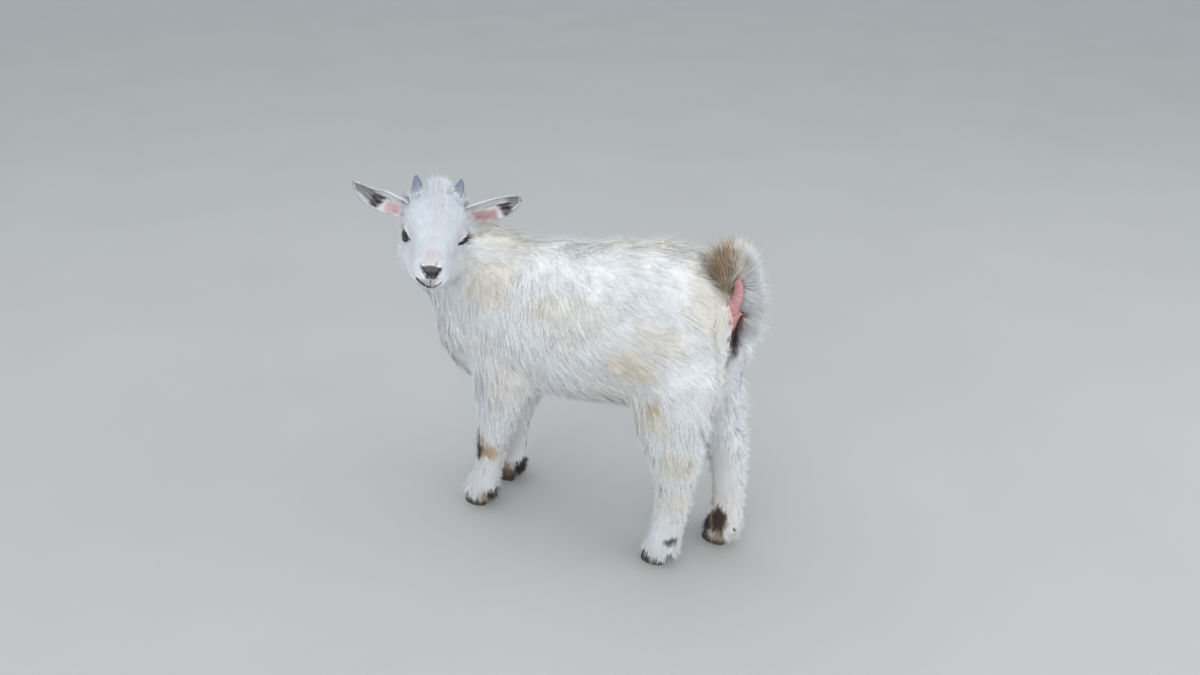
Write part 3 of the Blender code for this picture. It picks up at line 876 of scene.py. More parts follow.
# %% Spots
CREAM, TAN, DARK, PINK = range(4)
SPOTS = (
    # colour, amount, solid, place in its box, radii along X, Y and Z in metres
    (CREAM, 0.60, "neck", (0.76, 0.10, 0.74), (0.030, 0.030, 0.022)),
    (CREAM, 0.50, "neck", (0.70, 0.60, 0.95), (0.040, 0.040, 0.020)),
    (CREAM, 0.45, "trunk", (0.55, 0.55, 0.98), (0.110, 0.030, 0.018)),
    (CREAM, 0.55, "trunk", (0.93, 0.30, 0.84), (0.036, 0.050, 0.032)),
    (CREAM, 0.35, "trunk", (0.50, 0.08, 0.74), (0.050, 0.030, 0.022)),
    (CREAM, 0.40, "trunk", (0.78, 0.06, 0.68), (0.030, 0.025, 0.022)),
    (TAN, 0.10, "trunk", (0.44, 0.09, 0.72), (0.010, 0.015, 0.010)),
    (TAN, 0.16, "trunk", (0.69, 0.02, 0.50), (0.016, 0.022, 0.011)),
    (CREAM, 0.62, "trunk", (0.70, 0.02, 0.54), (0.028, 0.026, 0.022)),
    (TAN, 0.60, "leg_hind_left", (0.33, 0.03, 0.955), (0.006, 0.020, 0.009)),
    (DARK, 0.18, "leg_hind_left", (0.33, 0.03, 0.95), (0.004, 0.016, 0.006)),
    (CREAM, 0.55, "leg_hind_left", (0.32, 0.05, 0.90), (0.014, 0.022, 0.020)),
    (CREAM, 0.55, "leg_hind_left", (0.67, 0.18, 0.66), (0.018, 0.020, 0.018)),
    (TAN, 0.35, "leg_front_left", (0.66, 0.02, 0.94), (0.0045, 0.012, 0.007)),
    (DARK, 1.00, "leg_front_left", (0.285, 0.36, 0.53), (0.0110, 0.022, 0.028)),
    (TAN, 0.85, "leg_front_left", (0.42, 0.28, 0.49), (0.012, 0.013, 0.013)),
    (DARK, 1.00, "leg_front_left", (0.40, 0.45, 0.05), (0.009, 0.018, 0.013)),
    (TAN, 0.60, "leg_front_left", (0.29, 0.42, 0.035), (0.008, 0.014, 0.012)),
    (DARK, 0.40, "leg_front_left", (0.30, 0.42, 0.03), (0.008, 0.014, 0.010)),
    (TAN, 0.85, "leg_front_right", (0.22, 0.10, 0.05), (0.016, 0.024, 0.012)),
    (DARK, 0.55, "leg_front_right", (0.22, 0.10, 0.04), (0.014, 0.024, 0.010)),
    (DARK, 1.00, "leg_front_right", (0.46, 0.20, 0.07), (0.013, 0.024, 0.012)),
    (DARK, 0.75, "leg_hind_left", (0.08, 0.45, 0.02), (0.012, 0.016, 0.007)),
    (DARK, 0.75, "leg_hind_left", (0.60, 0.46, 0.14), (0.006, 0.014, 0.006)),
    (DARK, 0.60, "leg_hind_left", (0.57, 0.46, 0.05), (0.003, 0.010, 0.007)),
    (TAN, 0.80, "leg_hind_right", (0.77, 0.12, 0.12), (0.012, 0.024, 0.022)),
    (DARK, 0.84, "leg_hind_right", (0.79, 0.12, 0.13), (0.010, 0.022, 0.019)),
    (DARK, 0.90, "leg_hind_right", (0.64, 0.25, 0.08), (0.010, 0.020, 0.010)),
)


def lay(marks, colour, amounts):
    """Lays one colour over the marks, wherever it is stronger than what is there."""
    marks[:, colour] = np.maximum(marks[:, colour], amounts)


def bare_fold(points, radius=0.0062):
    """1 on the fold of bare skin under the tail, 0 elsewhere."""
    return ease(off_path(points, fold_path), radius + 0.0018, radius)


def mark_fold(marks, points):
    """Adds the fold: grey pink, with painted crease shade below its middle, and dark at its low end."""
    fold = bare_fold(points, 0.0076)
    height = points[:, 2]
    ends = fold_path[:, 2]
    low_end = 0.92 * ease(height, ends[6], ends[7])
    # painted shade in wavy creases below the fold's middle
    crease_shade = ease(waves(points * (0.5, 0.5, 1.0), 0.006, 71), 0.1, 0.8) * ease(height, ends[3], ends[4])
    lay(marks, PINK, fold)
    lay(marks, DARK, fold * np.max((low_end, 0.50 * crease_shade, np.full(len(fold), 0.26)), axis=0))


def markings(points):
    """Cream, tan, dark and pink at each point of hide, from 0 to 1."""
    marks = np.zeros((len(points), 4))
    jitter = 1.0 + 0.22 * waves(points, 0.018, 5) + 0.14 * waves(points, 0.006, 6)
    for colour, amount, node, place, radii in SPOTS:
        distance = lengths_of((points - inside(node, *place)) / np.array(radii))
        lay(marks, colour, amount * (1.0 - ease(distance * jitter, 0.55, 1.35)))
    off_face = 1.0 - 0.85 * on_head(to_head(points))
    lay(marks, CREAM, (0.09 + 0.15 * waves(points, 0.07, 7)) * off_face)
    mark_fold(marks, points)
    return face_marks(np.clip(marks, 0.0, 1.0), to_head(points))


# %% [markdown]
# ### Marks of the face and the ears
# The face is nearly plain: grey skin round the nose, a painted shadow on the upper lip, and rose where the
# hair is thin, above the nose, on the lids and round the ears. The hollow of an ear is bare and rose, with a
# red fold along it, painted shade in it, deeper in the left ear, and a painted shadow line across it, and it
# gives way to dark hair nearer the tip.

# %% Marks of the face
LID_ROSE = {1: 0.28, -1: 0.14}


def face_marks(marks, head):
    """Adds the rose and grey of nose, brow, lids and the roots of the ears, and a painted shadow on the upper
    lip.
    """
    face = on_head(head).astype(float)
    x, y, z = head.T
    lay(marks, PINK, 0.38 * soft_spot(head, (0.078, 0.0, 0.004), (0.008, 0.010, 0.006)) * face)
    lay(marks, DARK, 0.80 * nose_pad(head, 0.0020) * face)
    # painted shadow on the upper lip, below the nose
    upper_lip_shadow = ease(z, MOUTH_FRONT - 0.001, MOUTH_FRONT + 0.002) * ease(z, -0.0125, -0.0165)
    upper_lip_shadow = upper_lip_shadow * ease(np.abs(y + 0.003), 0.0110, 0.0055) * face * ease(x, 0.070, 0.076)
    lay(marks, DARK, 0.50 * upper_lip_shadow)
    whorl = soft_spot(head[:, 1:], (0.0, 0.026), (0.006, 0.018)) * face * (x > 0.0)
    lay(marks, PINK, 0.13 * whorl)
    lay(marks, DARK, 0.07 * whorl)
    for side, (centre, axes) in EYES.items():
        local = (head - centre) @ axes.T
        lid = soft_spot(local[:, 1:], (-0.004, 0.009), (0.010, 0.006))
        lid *= lengths_of(local) < 0.022
        lay(marks, PINK, LID_ROSE[side] * lid)
        root = lengths_of((head - mirrored(EAR_AT, side)) / (0.016, 0.014, 0.013))
        lay(marks, PINK, 0.08 * (1.0 - ease(root, 0.5, 1.3)))
    return marks


# %% Marks of the ears
DARK_FROM = (0.56, 0.40)  # how far along the left and the right ear its rose gives way to dark hair


def ear_marks(spread, side, places):
    """Pale rim, rose hollow with painted shade, red fold, dark streaks and a painted shadow line inside an
    ear, from its t, k and inner share.
    """
    t, k, inner = spread.T
    k = k + 0.03 * waves(places, 0.016, 61)
    start = np.where(side > 0, *DARK_FROM)
    streak = 0.5 + 0.5 * np.sin(k * 34.0 + 5.0 * np.sin(t * 6.0 + side) + 1.2 * side)
    rim = ease(np.abs(k), 0.490, 0.455) * ease(t, 0.995, 0.97)
    blob = ease(t + 0.25 * k, start - 0.06, start + 0.03) * ease(t, start + 0.36, start + 0.20)
    blob = blob * ease(k, 0.14, -0.04) * (0.72 + 0.28 * streak)
    tip = ease(t, start + 0.04, start + 0.26) * (0.50 + 0.16 * streak)
    tip = tip * (1.0 - 0.55 * ease(k, -0.28, -0.42))
    edge = ease(np.abs(k - 0.43), 0.07, 0.03) * ease(t, 0.30, 0.48)
    # a painted shadow line across the hollow
    line = ease(np.abs(k + 0.10 - 0.8 * (t - 0.3)), 0.05, 0.015) * ease(t, 0.26, 0.34) * ease(t, 0.60, 0.50)
    hollow = ease(k, -0.08, -0.22) * ease(t, 0.06, 0.18) * ease(t, start + 0.06, start - 0.06)
    base = ease(t, 0.32, 0.12) * ease(k, 0.35, 0.10)
    fold = ease(np.abs(k + 0.36 - 0.10 * t), 0.07, 0.02)
    fold = fold * ease(t, 0.08, 0.18) * ease(t, start - 0.06, start - 0.18)
    marks = np.zeros((len(spread), 4))
    # the hollow's share of dark is painted shade, deeper in the left ear
    dark = np.max((0.95 * blob, tip, 0.62 * edge, 0.50 * line, (0.10 + 0.26 * (side > 0)) * hollow), axis=0)
    marks[:, DARK] = np.where(inner > 0.5, dark * rim, 0.0)
    pink = np.max((0.62 * hollow, 0.26 * base, 0.90 * fold, np.full(len(t), 0.08)), axis=0)
    marks[:, PINK] = np.where(inner > 0.5, pink * rim, 0.06)
    return marks


# %% [markdown]
# ### Paint the skin
# Where no hair grows, the skin shows its own colours: the grey pad of the nose, the dark line of the lips, the
# groove below the pad and the dark edge of the lids. With them go painted shade in the nostrils and a painted
# shadow round the openings of the lids. These are laid over the coat's markings.

# %% Marks of the skin
is_ear = ear_spread[:, 2] >= 0.0
head = to_head(skin)
skin_marks = np.where(is_ear[:, None], ear_marks(ear_spread, np.sign(head[:, 1]), head), markings(skin))
front_of_face = on_head(head) & ~is_ear & (head[:, 0] > FACE_FROM)
pad = nose_pad(head) * front_of_face
mouth_reach = ease(head[:, 1], 0.0125, 0.0095) * ease(head[:, 1], -0.0160, -0.0130)
lips = (1.0 - ease(mouth_line(head), 0.0008, 0.0018)) * front_of_face * mouth_reach
groove = philtrum(head) * front_of_face
wet = np.maximum(pad, rim_share)
# grey pad, darker on its lower part, with painted shade in the nostrils
pad_grey_and_nostril_shade = pad * (0.76 + 0.24 * np.maximum(ease(head[:, 2], -0.005, -0.010), nostril(head)))
beyond = past_lids(head)
lid_shadow = near_eyes(head, 0.022, 0.0) * (1.0 - ease(beyond, 0.0002, 0.0018)) * ~is_ear
for amounts in (pad_grey_and_nostril_shade, lips, groove * 0.9, rim_share * 0.97, lid_shadow * 0.85):
    lay(skin_marks, DARK, amounts)
print("marked:", dict(zip(("cream", "tan", "dark", "pink"), skin_marks.mean(0).round(3))))

# %% [markdown]
# ### Unwrap the skin
# A flat map of the skin lets every material be baked into an image.
# Blender's smart projection cuts the skin into islands by the way its faces look. The coat uses the same
# map: each tuft will take a tiny patch of it at its root, so a tuft gets the colour of the place that it
# grows from.

# %% Skin object
def mark(obj, name, values):
    """Stores four numbers for each point of a mesh, for its material to read."""
    layer = obj.data.attributes.new(name, "FLOAT_COLOR", "POINT")
    layer.data.foreach_set("color", np.asarray(values, np.float32).ravel())


def unwrapped(obj):
    """Unwraps a mesh into islands and returns the map's place of each face corner."""
    bpy.context.view_layer.objects.active = obj
    obj.select_set(True)
    bpy.ops.object.mode_set(mode="EDIT")
    bpy.ops.mesh.select_all(action="SELECT")
    bpy.ops.uv.smart_project(angle_limit=math.radians(75), island_margin=0.001)
    bpy.ops.object.mode_set(mode="OBJECT")
    obj.select_set(False)
    layer = obj.data.uv_layers.active
    layer.name = "OFBake"
    places = np.empty(len(obj.data.loops) * 2, np.float32)
    layer.data.foreach_get("uv", places)
    return places.reshape(-1, 3, 2)


hide_obj = piece("skin", skin, skin_faces)
mark(hide_obj, "marks", skin_marks)
mark(hide_obj, "feel", np.stack((wet, pad, is_ear * (ear_spread[:, 2] > 0.5), shares[:, PART["head"]]), 1))
skin_map = unwrapped(hide_obj)
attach(hide_obj, "root")
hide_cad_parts(*FLESH, "ear_left", "ear_right")
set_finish(hide_obj, "coat")
print("skin map:", skin_map.shape)

# %% [markdown]
# ## The lie of the coat
# Hair points the way that rain should run off: back along the spine, down the flanks and legs, and on the
# face away from a place on the bridge of the nose. It gathers in a tuft on the crown and in a ring round
# each horn. A groomer would comb this with a brush. We write one direction for each part, blend them by the
# parts' shares, press the result into the surface and relax it, so that it turns smoothly where parts meet.

# %% Direction of the hair
NOSE, SIDE, UP = HEAD
BROW = np.array((0.052, 0.002, 0.012))  # the place on the bridge that the face's hair radiates from
CREST = np.array((-0.012, 0.0, 0.040))  # the crown between the horns
HORN_AXIS = (-0.206, 0.167, 0.964)
BACK = np.array((1.0, 0.0, 0.0))
DOWN = np.array((0.0, 0.0, -1.0))


def crown(head):
    """1 on the crown, 1 in the ring of hair at a horn's foot, and the direction in to crown or horn."""
    away = head - CREST
    peak = 1.0 - ease(lengths_of(away / (0.015, 0.014, 0.014)), 0.4, 1.1)
    inward = unit(np.array((-0.9, 0.0, 0.4)) - 0.5 * unit(away)) * column(peak)
    ring = np.zeros(len(head))
    for side in EYES:
        axis = mirrored(HORN_AXIS, side)
        away = head - mirrored(HORN_ROOT, side)
        away = away - column(away @ axis) * axis
        close = ease(lengths_of(away), 0.0130, 0.0085) * (head[:, 2] > 0.018)
        inward = inward * column(1.0 - close) - unit(away) * column(close)
        ring = np.maximum(ring, close)
    return peak * (1.0 - ring), ring, inward


def fringe(points):
    """1 where the white fringe behind the bare fold has its roots, 0 elsewhere."""
    return upright(points, -0.042, 0.046) * ease(np.abs(points[:, 1] - MIDDLE - 0.012), 0.020, 0.010)


def beside_fold(points, reach):
    """1 close beside the bare fold on its left, where the hair is parted away from it, 0 beyond reach."""
    return ease(off_path(points, fold_path), reach, 0.010) * (points[:, 1] < fold_path[3, 1] + 0.002)


def lie_of_head(head):
    """The direction of the head's hair: away from the bridge of the nose, up above the cheek, down below."""
    x, y, z = head.T
    below = ease(z, 0.004, -0.022)
    way = -NOSE + column(0.55 * (1.0 - below)) * UP
    way = way - column(0.75 * below * ease(x, 0.07, 0.02)) * UP
    way = way + column(0.30 * np.clip(y / 0.03, -1.0, 1.0)) * SIDE
    upper_face = ease(z, -0.004, 0.010) * ease(x, 0.060, 0.045)
    way = way * column(1.0 - 0.7 * upper_face) + unit(head - BROW) @ HEAD * column(0.9 * upper_face)
    peak, ring, inward = crown(head)
    return way * column(1.0 - np.maximum(peak, ring)) + inward @ HEAD


def wander(points, size, seed):
    """Smooth noise along three axes."""
    return np.stack([waves(points, size, seed + axis) for axis in range(3)], 1)


def lie_of(points, shares):
    """The direction that the hair points, before it is pressed into the surface."""
    along, _, height = shares_of_box(points, "trunk").T
    backward = 0.30 + 0.85 * ease(along, 0.30, 0.75) - 0.35 * ease(along, 0.88, 1.0)
    downward = 1.0 - 0.55 * ease(along, 0.40, 0.80) + 0.45 * ease(along, 0.86, 1.0)
    ways = {"trunk": column(backward) * BACK + column(downward * (1.0 - 0.5 * ease(height, 0.8, 1.0))) * DOWN}
    crest = ease(points[:, 2], 0.300, 0.335)
    ways["neck"] = column(0.25 + 0.85 * crest) * BACK + column(1.0 - 0.7 * crest) * DOWN
    ways["head"] = lie_of_head(to_head(points))
    for name in LEGS:
        hind = 0.40 * ease(points[:, 2], 0.13, 0.24) if "hind" in name else 0.12
        ways[name] = column(np.broadcast_to(hind, len(points))) * BACK + DOWN
    ways["tail"] = (points - inside("tail", 0.65, 0.5, 0.1)) * (1.3, 0.8, 1.0)
    total = sum(column(shares[:, k]) * unit(ways[name]) for k, name in enumerate(FLESH))
    parted = column(beside_fold(points, 0.030)) * (-0.6, -1.5, -0.6)
    raised = column(1.8 * fringe(points)) * (1.0, 0.0, 0.10)
    swirl, ruffle = wander(points, 0.060, 21), wander(points, 0.026, 24)
    return unit(total + (parted + raised)) + 0.11 * swirl + 0.07 * ruffle


def pressed(directions, normals):
    """Directions laid flat on the surface."""
    return unit(directions - normals * np.sum(directions * normals, axis=1)[:, None])


skin_normals = normals_of(skin, skin_faces)
lie = pressed(lie_of(skin, shares), skin_normals)
lie = pressed(relax(lie, net, 4), skin_normals)
print("lie of the coat at", len(lie), "points")

# %% [markdown]
# ### Length, width and how far it stands
# The coat is longest on trunk and neck, short on the legs and shortest on the face. Its tips stand out a
# little on belly, chest and buttocks, and nearly upright on the crown, round the horns and in the white
# fringe below the tail. These sizes are again one number for each part, blended by share and then varied by
# place.

# %% Sizes of the tufts
def coat_sizes(points, normals, shares):
    """Length, width, rise above the surface and number to the square metre of the tufts."""
    height = points[:, 2]
    head = to_head(points)
    length = {"trunk": 0.0230, "neck": 0.0230, "tail": 0.0270}
    length["head"] = 0.0046 + 0.0058 * ease(head[:, 0], 0.068, -0.010)
    width = {"trunk": 0.00062, "neck": 0.00062, "tail": 0.0006}
    width["head"] = 0.00050 + 0.00014 * ease(head[:, 0], 0.050, -0.030)
    rise = {"trunk": 0.088, "neck": 0.105, "tail": 0.30, "head": 0.14}
    crowd = {"trunk": 0.52e6, "neck": 0.60e6, "tail": 3.0e6}
    crowd["head"] = 1.20e6 + 0.45e6 * ease(head[:, 0], 0.0, 0.050)
    for name in LEGS:
        length[name] = 0.0062 + 0.0125 * ease(height, 0.040, 0.205) + 0.0045 * ease(height, 0.036, 0.021)
        width[name] = 0.00056 + 0.00014 * ease(height, 0.04, 0.20)
        rise[name] = 0.30 - 0.10 * ease(height, 0.10, 0.20) + 0.20 * ease(height, 0.036, 0.021)
        crowd[name] = 0.86e6 - 0.34e6 * ease(height, 0.04, 0.20)
    sizes = []
    for table in (length, width, rise, crowd):
        sizes.append(sum(shares[:, k] * table[name] for k, name in enumerate(FLESH)))
    length, width, rise, crowd = sizes
    on_trunk, on_tail = shares[:, PART["trunk"]], shares[:, PART["tail"]]
    on_body = on_trunk + shares[:, PART["neck"]]
    belly = on_trunk * ease(normals[:, 2], -0.3, -0.8)
    length = length * (1.0 - 0.30 * belly)
    spine = on_trunk * ease(normals[:, 2], 0.965, 0.998)
    chest = on_body * ease(normals[:, 0], -0.3, -0.8)
    rear = ease(points[:, 0], 0.165, 0.190) * ease(normals[:, 0], 0.2, 0.7) * (on_tail < 0.4)
    hock = (1.0 - on_body) * ease(normals[:, 0], 0.2, 0.8) * ease(height, 0.04, 0.07) * (points[:, 0] > 0.0)
    patches = np.clip(0.5 + 0.6 * waves(points, 0.030, 51), 0.0, 1.0)
    rise = rise * (0.75 + 0.5 * patches) * (1.0 - 0.5 * on_body * ease(normals[:, 2], 0.55, 0.85))
    rise = rise + 0.20 * belly + 0.06 * spine * patches + 0.22 * chest
    rise = rise + 0.24 * rear * ease(height, 0.10, 0.16) + 0.30 * hock
    beside = beside_fold(points, 0.026)
    length = length * (1.0 - 0.60 * beside * (1.0 - on_tail))
    rise = rise * (1.0 - 0.6 * beside) + 0.55 * fringe(points)
    crowd = crowd * (1.0 + 1.2 * fringe(points) * on_trunk)
    return length, width, rise, crowd


# %% [markdown]
# ### Where the coat is bare or short
# No hair grows on the nose, the lips, the lids and the fold below the tail, nor where a horn stands. Beside
# the mouth and the eyes it is shorter, so that they aren't buried. The last number, tufts to the square
# metre, simply falls to nothing there, and on the ears, which get a coat of their own.

# %% Bare and short places
HORN_FOOT = (-0.0125, 0.0205, 0.040)


def bare_places(points, head):
    """1 where no coat grows: nose, lips, lids, the eyes' openings, horns and the fold under the tail."""
    face = on_head(head) & (head[:, 0] > FACE_FROM)
    pad = ease(nose_pad(head, 0.0009), 0.35, 0.8)
    bare = np.maximum(pad, 1.0 - ease(mouth_line(head), 0.0008, 0.0014)) * face
    bare = np.maximum(bare, near_eyes(head, 0.018, 0.0) * (1.0 - ease(past_lids(head), 0.0007, 0.0013)))
    for side in SIDES:
        horn = lengths_of((head - mirrored(HORN_FOOT, side)) / (0.0042, 0.0042, 0.02))
        bare = np.maximum(bare, 1.0 - ease(horn, 0.85, 1.05))
    return np.maximum(bare, bare_fold(points))


length, width, rise, crowd = coat_sizes(skin, skin_normals, shares)
peak, ring, _ = crown(head)
peak, ring = peak * ~is_ear, ring * ~is_ear
length = length * (1.0 - peak - ring) + (0.0065 + 0.0035 * peak) * peak + 0.0080 * ring
rise = rise + 0.62 * peak + 0.80 * ring
near_mouth = front_of_face * ease(mouth_line(head), 0.006, 0.002)
length = length * (1.0 - 0.45 * near_mouth)
close_to_eye = near_eyes(head, 0.020, 0.0) * (1.0 - ease(beyond, 0.001, 0.006))
length = length * (1.0 - 0.50 * close_to_eye)
crowd = crowd * (1.0 - bare_places(skin, head)) * ~is_ear * (rim_share < 0.5)
crowd = crowd * (0.35 + 0.65 * ease(skin[:, 2], 0.010, 0.016))
print("tuft lengths from", length.min().round(4), "to", length.max().round(4))

# %% [markdown]
# ### Roots
# Blender's own hair curves could carry this coat, but the part has to be plain closed meshes. So every tuft
# becomes a small mesh, and the first step is to place its root. Roots fall at random on the skin's
# triangles, in numbers that follow each triangle's area and the crowd wanted there, and read all other
# values at that place.

# %% Roots
def scatter(where, density, seed):
    """Random roots on some of the skin's faces: each root's face and its weights of the three corners."""
    rng = np.random.default_rng(seed)
    a, b, c = (skin[skin_faces[where, k]] for k in range(3))
    area = lengths_of(np.cross(b - a, c - a)) / 2
    number = rng.poisson(area * density[skin_faces[where]].mean(1))
    face = np.repeat(where, number)
    u, v = rng.random(len(face)), rng.random(len(face))
    over = u + v > 1.0
    u, v = np.where(over, 1.0 - u, u), np.where(over, 1.0 - v, v)
    return face, np.stack((1.0 - u - v, u, v), 1)


def at_roots(values, face, weights):
    """Values of the skin's points, blended at the roots."""
    picked = values[skin_faces[face]]
    if values.ndim == 1:
        return np.sum(picked * weights, axis=1)
    return np.einsum("nij,ni->nj", picked, weights)


skin_tree = BVHTree.FromPolygons(skin.tolist(), skin_faces.tolist())


def over_skin(points, heights):
    """Points moved to given heights above the skin nearest to them, and the skin's direction there."""
    places = np.empty_like(points)
    touched = np.empty(len(points), int)
    for k, point in enumerate(points.tolist()):
        places[k], _, touched[k], _ = skin_tree.find_nearest(point)
    normals = unit(skin_normals[skin_faces[touched]].mean(1))
    return places + normals * column(heights), normals


# %% [markdown]
# ### Locks of hair
# Real hair gathers in locks, so tufts are sorted to the nearest of a scatter of lock centres. A lock's
# tufts share one turn, one length and one rise, and their tips lean together, while a few strays stand off.
# All of this is arithmetic on arrays, so the whole coat takes a few seconds.

# %% Locks
LOCK_TURN = 0.09  # how far a lock turns aside
OWN_TURN = 0.07  # and each of its tufts
STRAY_TURN = 0.10  # and a stray beyond that
STRAY_RISE = (0.10, 0.60)
STANDING = 0.5  # tufts that rise more steeply are meant to stand, and aren't lowered


def turned(ways, axes, angles):
    """Directions turned round unit axes that are square to them."""
    return ways * np.cos(angles)[:, None] + np.cross(axes, ways) * np.sin(angles)[:, None]


def locks(roots, size, seed):
    """The lock that each root belongs to, and the root nearest its middle."""
    rng = np.random.default_rng(seed)
    middles = rng.choice(len(roots), max(1, len(roots) // size), replace=False)
    owner = nearest_of(roots, roots[middles])
    return owner, middles[owner]


def varied(roots, normals, ways, lengths, rises, seed, owner, uneven, strays, tallest):
    """Ways, lengths and rises that differ from lock to lock and from tuft to tuft, bends, and who strays."""
    rng = np.random.default_rng(seed)
    count = len(roots)
    per_lock = rng.normal(size=(owner.max() + 1, 4))[owner]
    own = rng.normal(size=(count, 4))
    stray = rng.random(count) < strays
    ways = turned(ways, normals, LOCK_TURN * per_lock[:, 0] + (OWN_TURN + STRAY_TURN * stray) * own[:, 0])
    lengths = lengths * np.clip(1.0 + 0.12 * per_lock[:, 1] + 0.14 * own[:, 1], 0.5, 1.5)
    stands = rises > STANDING
    tall = per_lock[:, 2] + 1.5 * np.maximum(per_lock[:, 2] - 0.8, 0.0)
    rises = rises * np.clip(1.0 + uneven * tall + 0.20 * own[:, 2], 0.3, 2.6)
    rises = rises + stray * rng.uniform(*STRAY_RISE, count)
    lowered = np.minimum(rises, np.arcsin(np.minimum(tallest / lengths, 1.0)))
    bends = 0.05 * per_lock[:, 3] + 0.05 * own[:, 3]
    return ways, lengths, np.where(stands, rises, lowered), bends, stray


# %% [markdown]
# ### Wisps
# Each tuft is a thin three-sided wisp: a point in the skin, a ring of three points or two rings, and a tip.
# Its middle line leaves the skin at the angle of its rise and droops back towards it. Long tufts would pass
# over hollows and through bulges, so every ring is draped: it is moved to its height above the skin that it
# has reached.

# %% Wisps
SKYWARD = (-0.10, -0.40, 0.91)  # the way that most light comes from, which pale fringes are shaded towards
FLATNESS = 0.24  # thickness of a wisp as a share of its width
FLOOR_GAP = 0.0006  # the lowest that a tip may hang over the floor


def wisps(roots, normals, ways, lengths, widths, rises, seed, rings=(0.42,), lock_size=18, gather=0.14,
          uneven=0.24, droop=0.04, strays=0.14, clings=True, sky=0.0, tallest=0.0075):
    """Points of closed, tapered wisps, their shares along the wisps, and the skin's direction at each."""
    count = len(roots)
    owner, leader = locks(roots, lock_size, seed)
    varying = varied(roots, normals, ways, lengths, rises, seed, owner, uneven, strays, tallest)
    ways, lengths, rises, bend, stray = varying
    widths = widths * (1.0 - 0.35 * stray)
    across = np.cross(ways, normals)
    lift = ways * np.cos(rises)[:, None] + normals * np.sin(rises)[:, None]
    over = np.cross(lift, across)
    inwards = (roots[leader] - roots) * gather
    too_far = lengths_of(inwards) / (0.25 * lengths)
    inwards = inwards / np.maximum(too_far, 1.0)[:, None]
    cling = ease(roots[:, 2], 0.024, 0.040) * ease(rises, 0.8, 0.5) * np.where(stray, 0.4, 1.0)

    def spot(s):
        """The middle of every wisp at a share of its length, laid over the skin where it clings to it."""
        free = (roots + lift * column(lengths * s) - normals * column(lengths * droop * s * s)
                + across * column(lengths * bend * s * s) + inwards * s ** 1.4)
        if not clings:
            return free, normals
        held, up = over_skin(free, lengths * (np.sin(rises) * s - droop * s * s))
        return free + (held - free) * column(cling), up

    rows = [(roots - normals * column(widths))[:, None]]
    ups = [normals[:, None]]
    along = [0.0]
    for s in rings:
        girth = widths * (0.85 + 0.6 * s - 1.15 * s * s) * 0.55
        middle, up = spot(s)
        ring = []
        for corner in range(3):
            angle = math.tau * corner / 3 - math.pi / 2
            offset = across * math.cos(angle) + over * (FLATNESS * math.sin(angle))
            ring.append(middle + offset * column(girth))
        rows.append(np.stack(ring, 1))
        ups.append(np.repeat(up[:, None], 3, axis=1))
        along += [s] * 3
    middle, up = spot(1.0)
    rows.append(middle[:, None])
    ups.append(up[:, None])
    sky = np.broadcast_to(sky, count)[:, None, None]
    ups = unit(np.concatenate(ups, 1) * (1.0 - sky) + np.array(SKYWARD) * sky)
    points = np.concatenate(rows, 1)
    points[:, :, 2] = np.maximum(points[:, :, 2], FLOOR_GAP)
    return points, np.array([*along, 1.0]), ups


def wisp_faces(rings):
    """The triangles of one wisp: a fan at its root, bands between rings of three, and a fan at its tip."""
    faces = [(0, 1 + (k + 1) % 3, 1 + k) for k in range(3)]
    for low in range(1, 3 * (rings - 1), 3):
        for k in range(3):
            n = (k + 1) % 3
            faces.append((low + k, low + n, low + 3 + n))
            faces.append((low + k, low + 3 + n, low + 3 + k))
    last = 3 * rings - 2
    for k in range(3):
        faces.append((last + k, last + (k + 1) % 3, last + 3))
    return np.array(faces)


# %% [markdown]
# ### From wisps to coat pieces
# A facet of a wisp would glitter like cut glass, so its shading is bent towards the skin's own direction,
# as games do with leaves and fur. Each wisp also carries its marks, how far along it a point lies, a random
# tone and whether it grows on the face. Roots are put in order from nose to tail and cut into pieces of a
# size that any program can open.

# %% Coat pieces
TUFT_PATCH = 0.003  # size of a tuft's patch on the skin's map
COAT_LIMIT = 190000  # triangles in one coat piece
SOFTNESS = 0.88  # how much of the skin's own direction shades a wisp
coat_pieces = []


def coat_piece(name, slot, points, along, ups, marks, places, tone, on_face):
    """One object of many wisps, with its marks, its map and softened shading."""
    count, size = points.shape[:2]
    shape = wisp_faces((size - 2) // 3)
    faces = (shape[None] + (np.arange(count) * size)[:, None, None]).reshape(-1, 3)
    made = piece(name, points.reshape(-1, 3), faces)
    mark(made, "marks", np.repeat(marks, size, axis=0))
    strand = np.zeros((count, size, 4))
    strand[:, :, 0] = along
    strand[:, :, 1] = tone[:, None]
    strand[:, :, 2] = on_face[:, None]
    strand[:, :, 3] = 1.0
    mark(made, "strand", strand.reshape(-1, 4))
    corner = np.array([0.5, *[0.0, 0.5, 1.0] * ((size - 2) // 3), 0.5])
    spread = np.stack((corner, along), 1) - 0.5
    patch = places[:, None] + spread[None] * TUFT_PATCH
    layer = made.data.uv_layers.new(name="OFBake")
    layer.data.foreach_set("uv", patch.reshape(-1, 2)[faces.ravel()].astype(np.float32).ravel())
    own = normals_of(points.reshape(-1, 3), faces)
    soft = unit(own * (1.0 - SOFTNESS) + ups.reshape(-1, 3) * SOFTNESS)
    made.data.normals_split_custom_set_from_vertices(soft.tolist())
    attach(made, "root")
    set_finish(made, slot)
    coat_pieces.append(made)
    print(name, count, "tufts", len(faces), "triangles")


# %% [markdown]
# ### Grow one coat
# This brings the steps together for some of the skin's faces: place the roots, read the coat's values
# there, let a dresser change them, shape the wisps and cut them into pieces. Tips are kept below a height
# over the skin, which is greatest on the back and in the fringe, so the figure doesn't outgrow its solids.

# %% Grow a coat
TALLEST = 0.0112  # how high a tuft's tip may stand over the skin on a level place
FLANK_TRIM = 0.0045  # how much lower it stays where the skin faces sideways
FRINGE_RISE = 0.0090  # how much higher it may stand in the fringe
FRINGE_SKY = 0.8


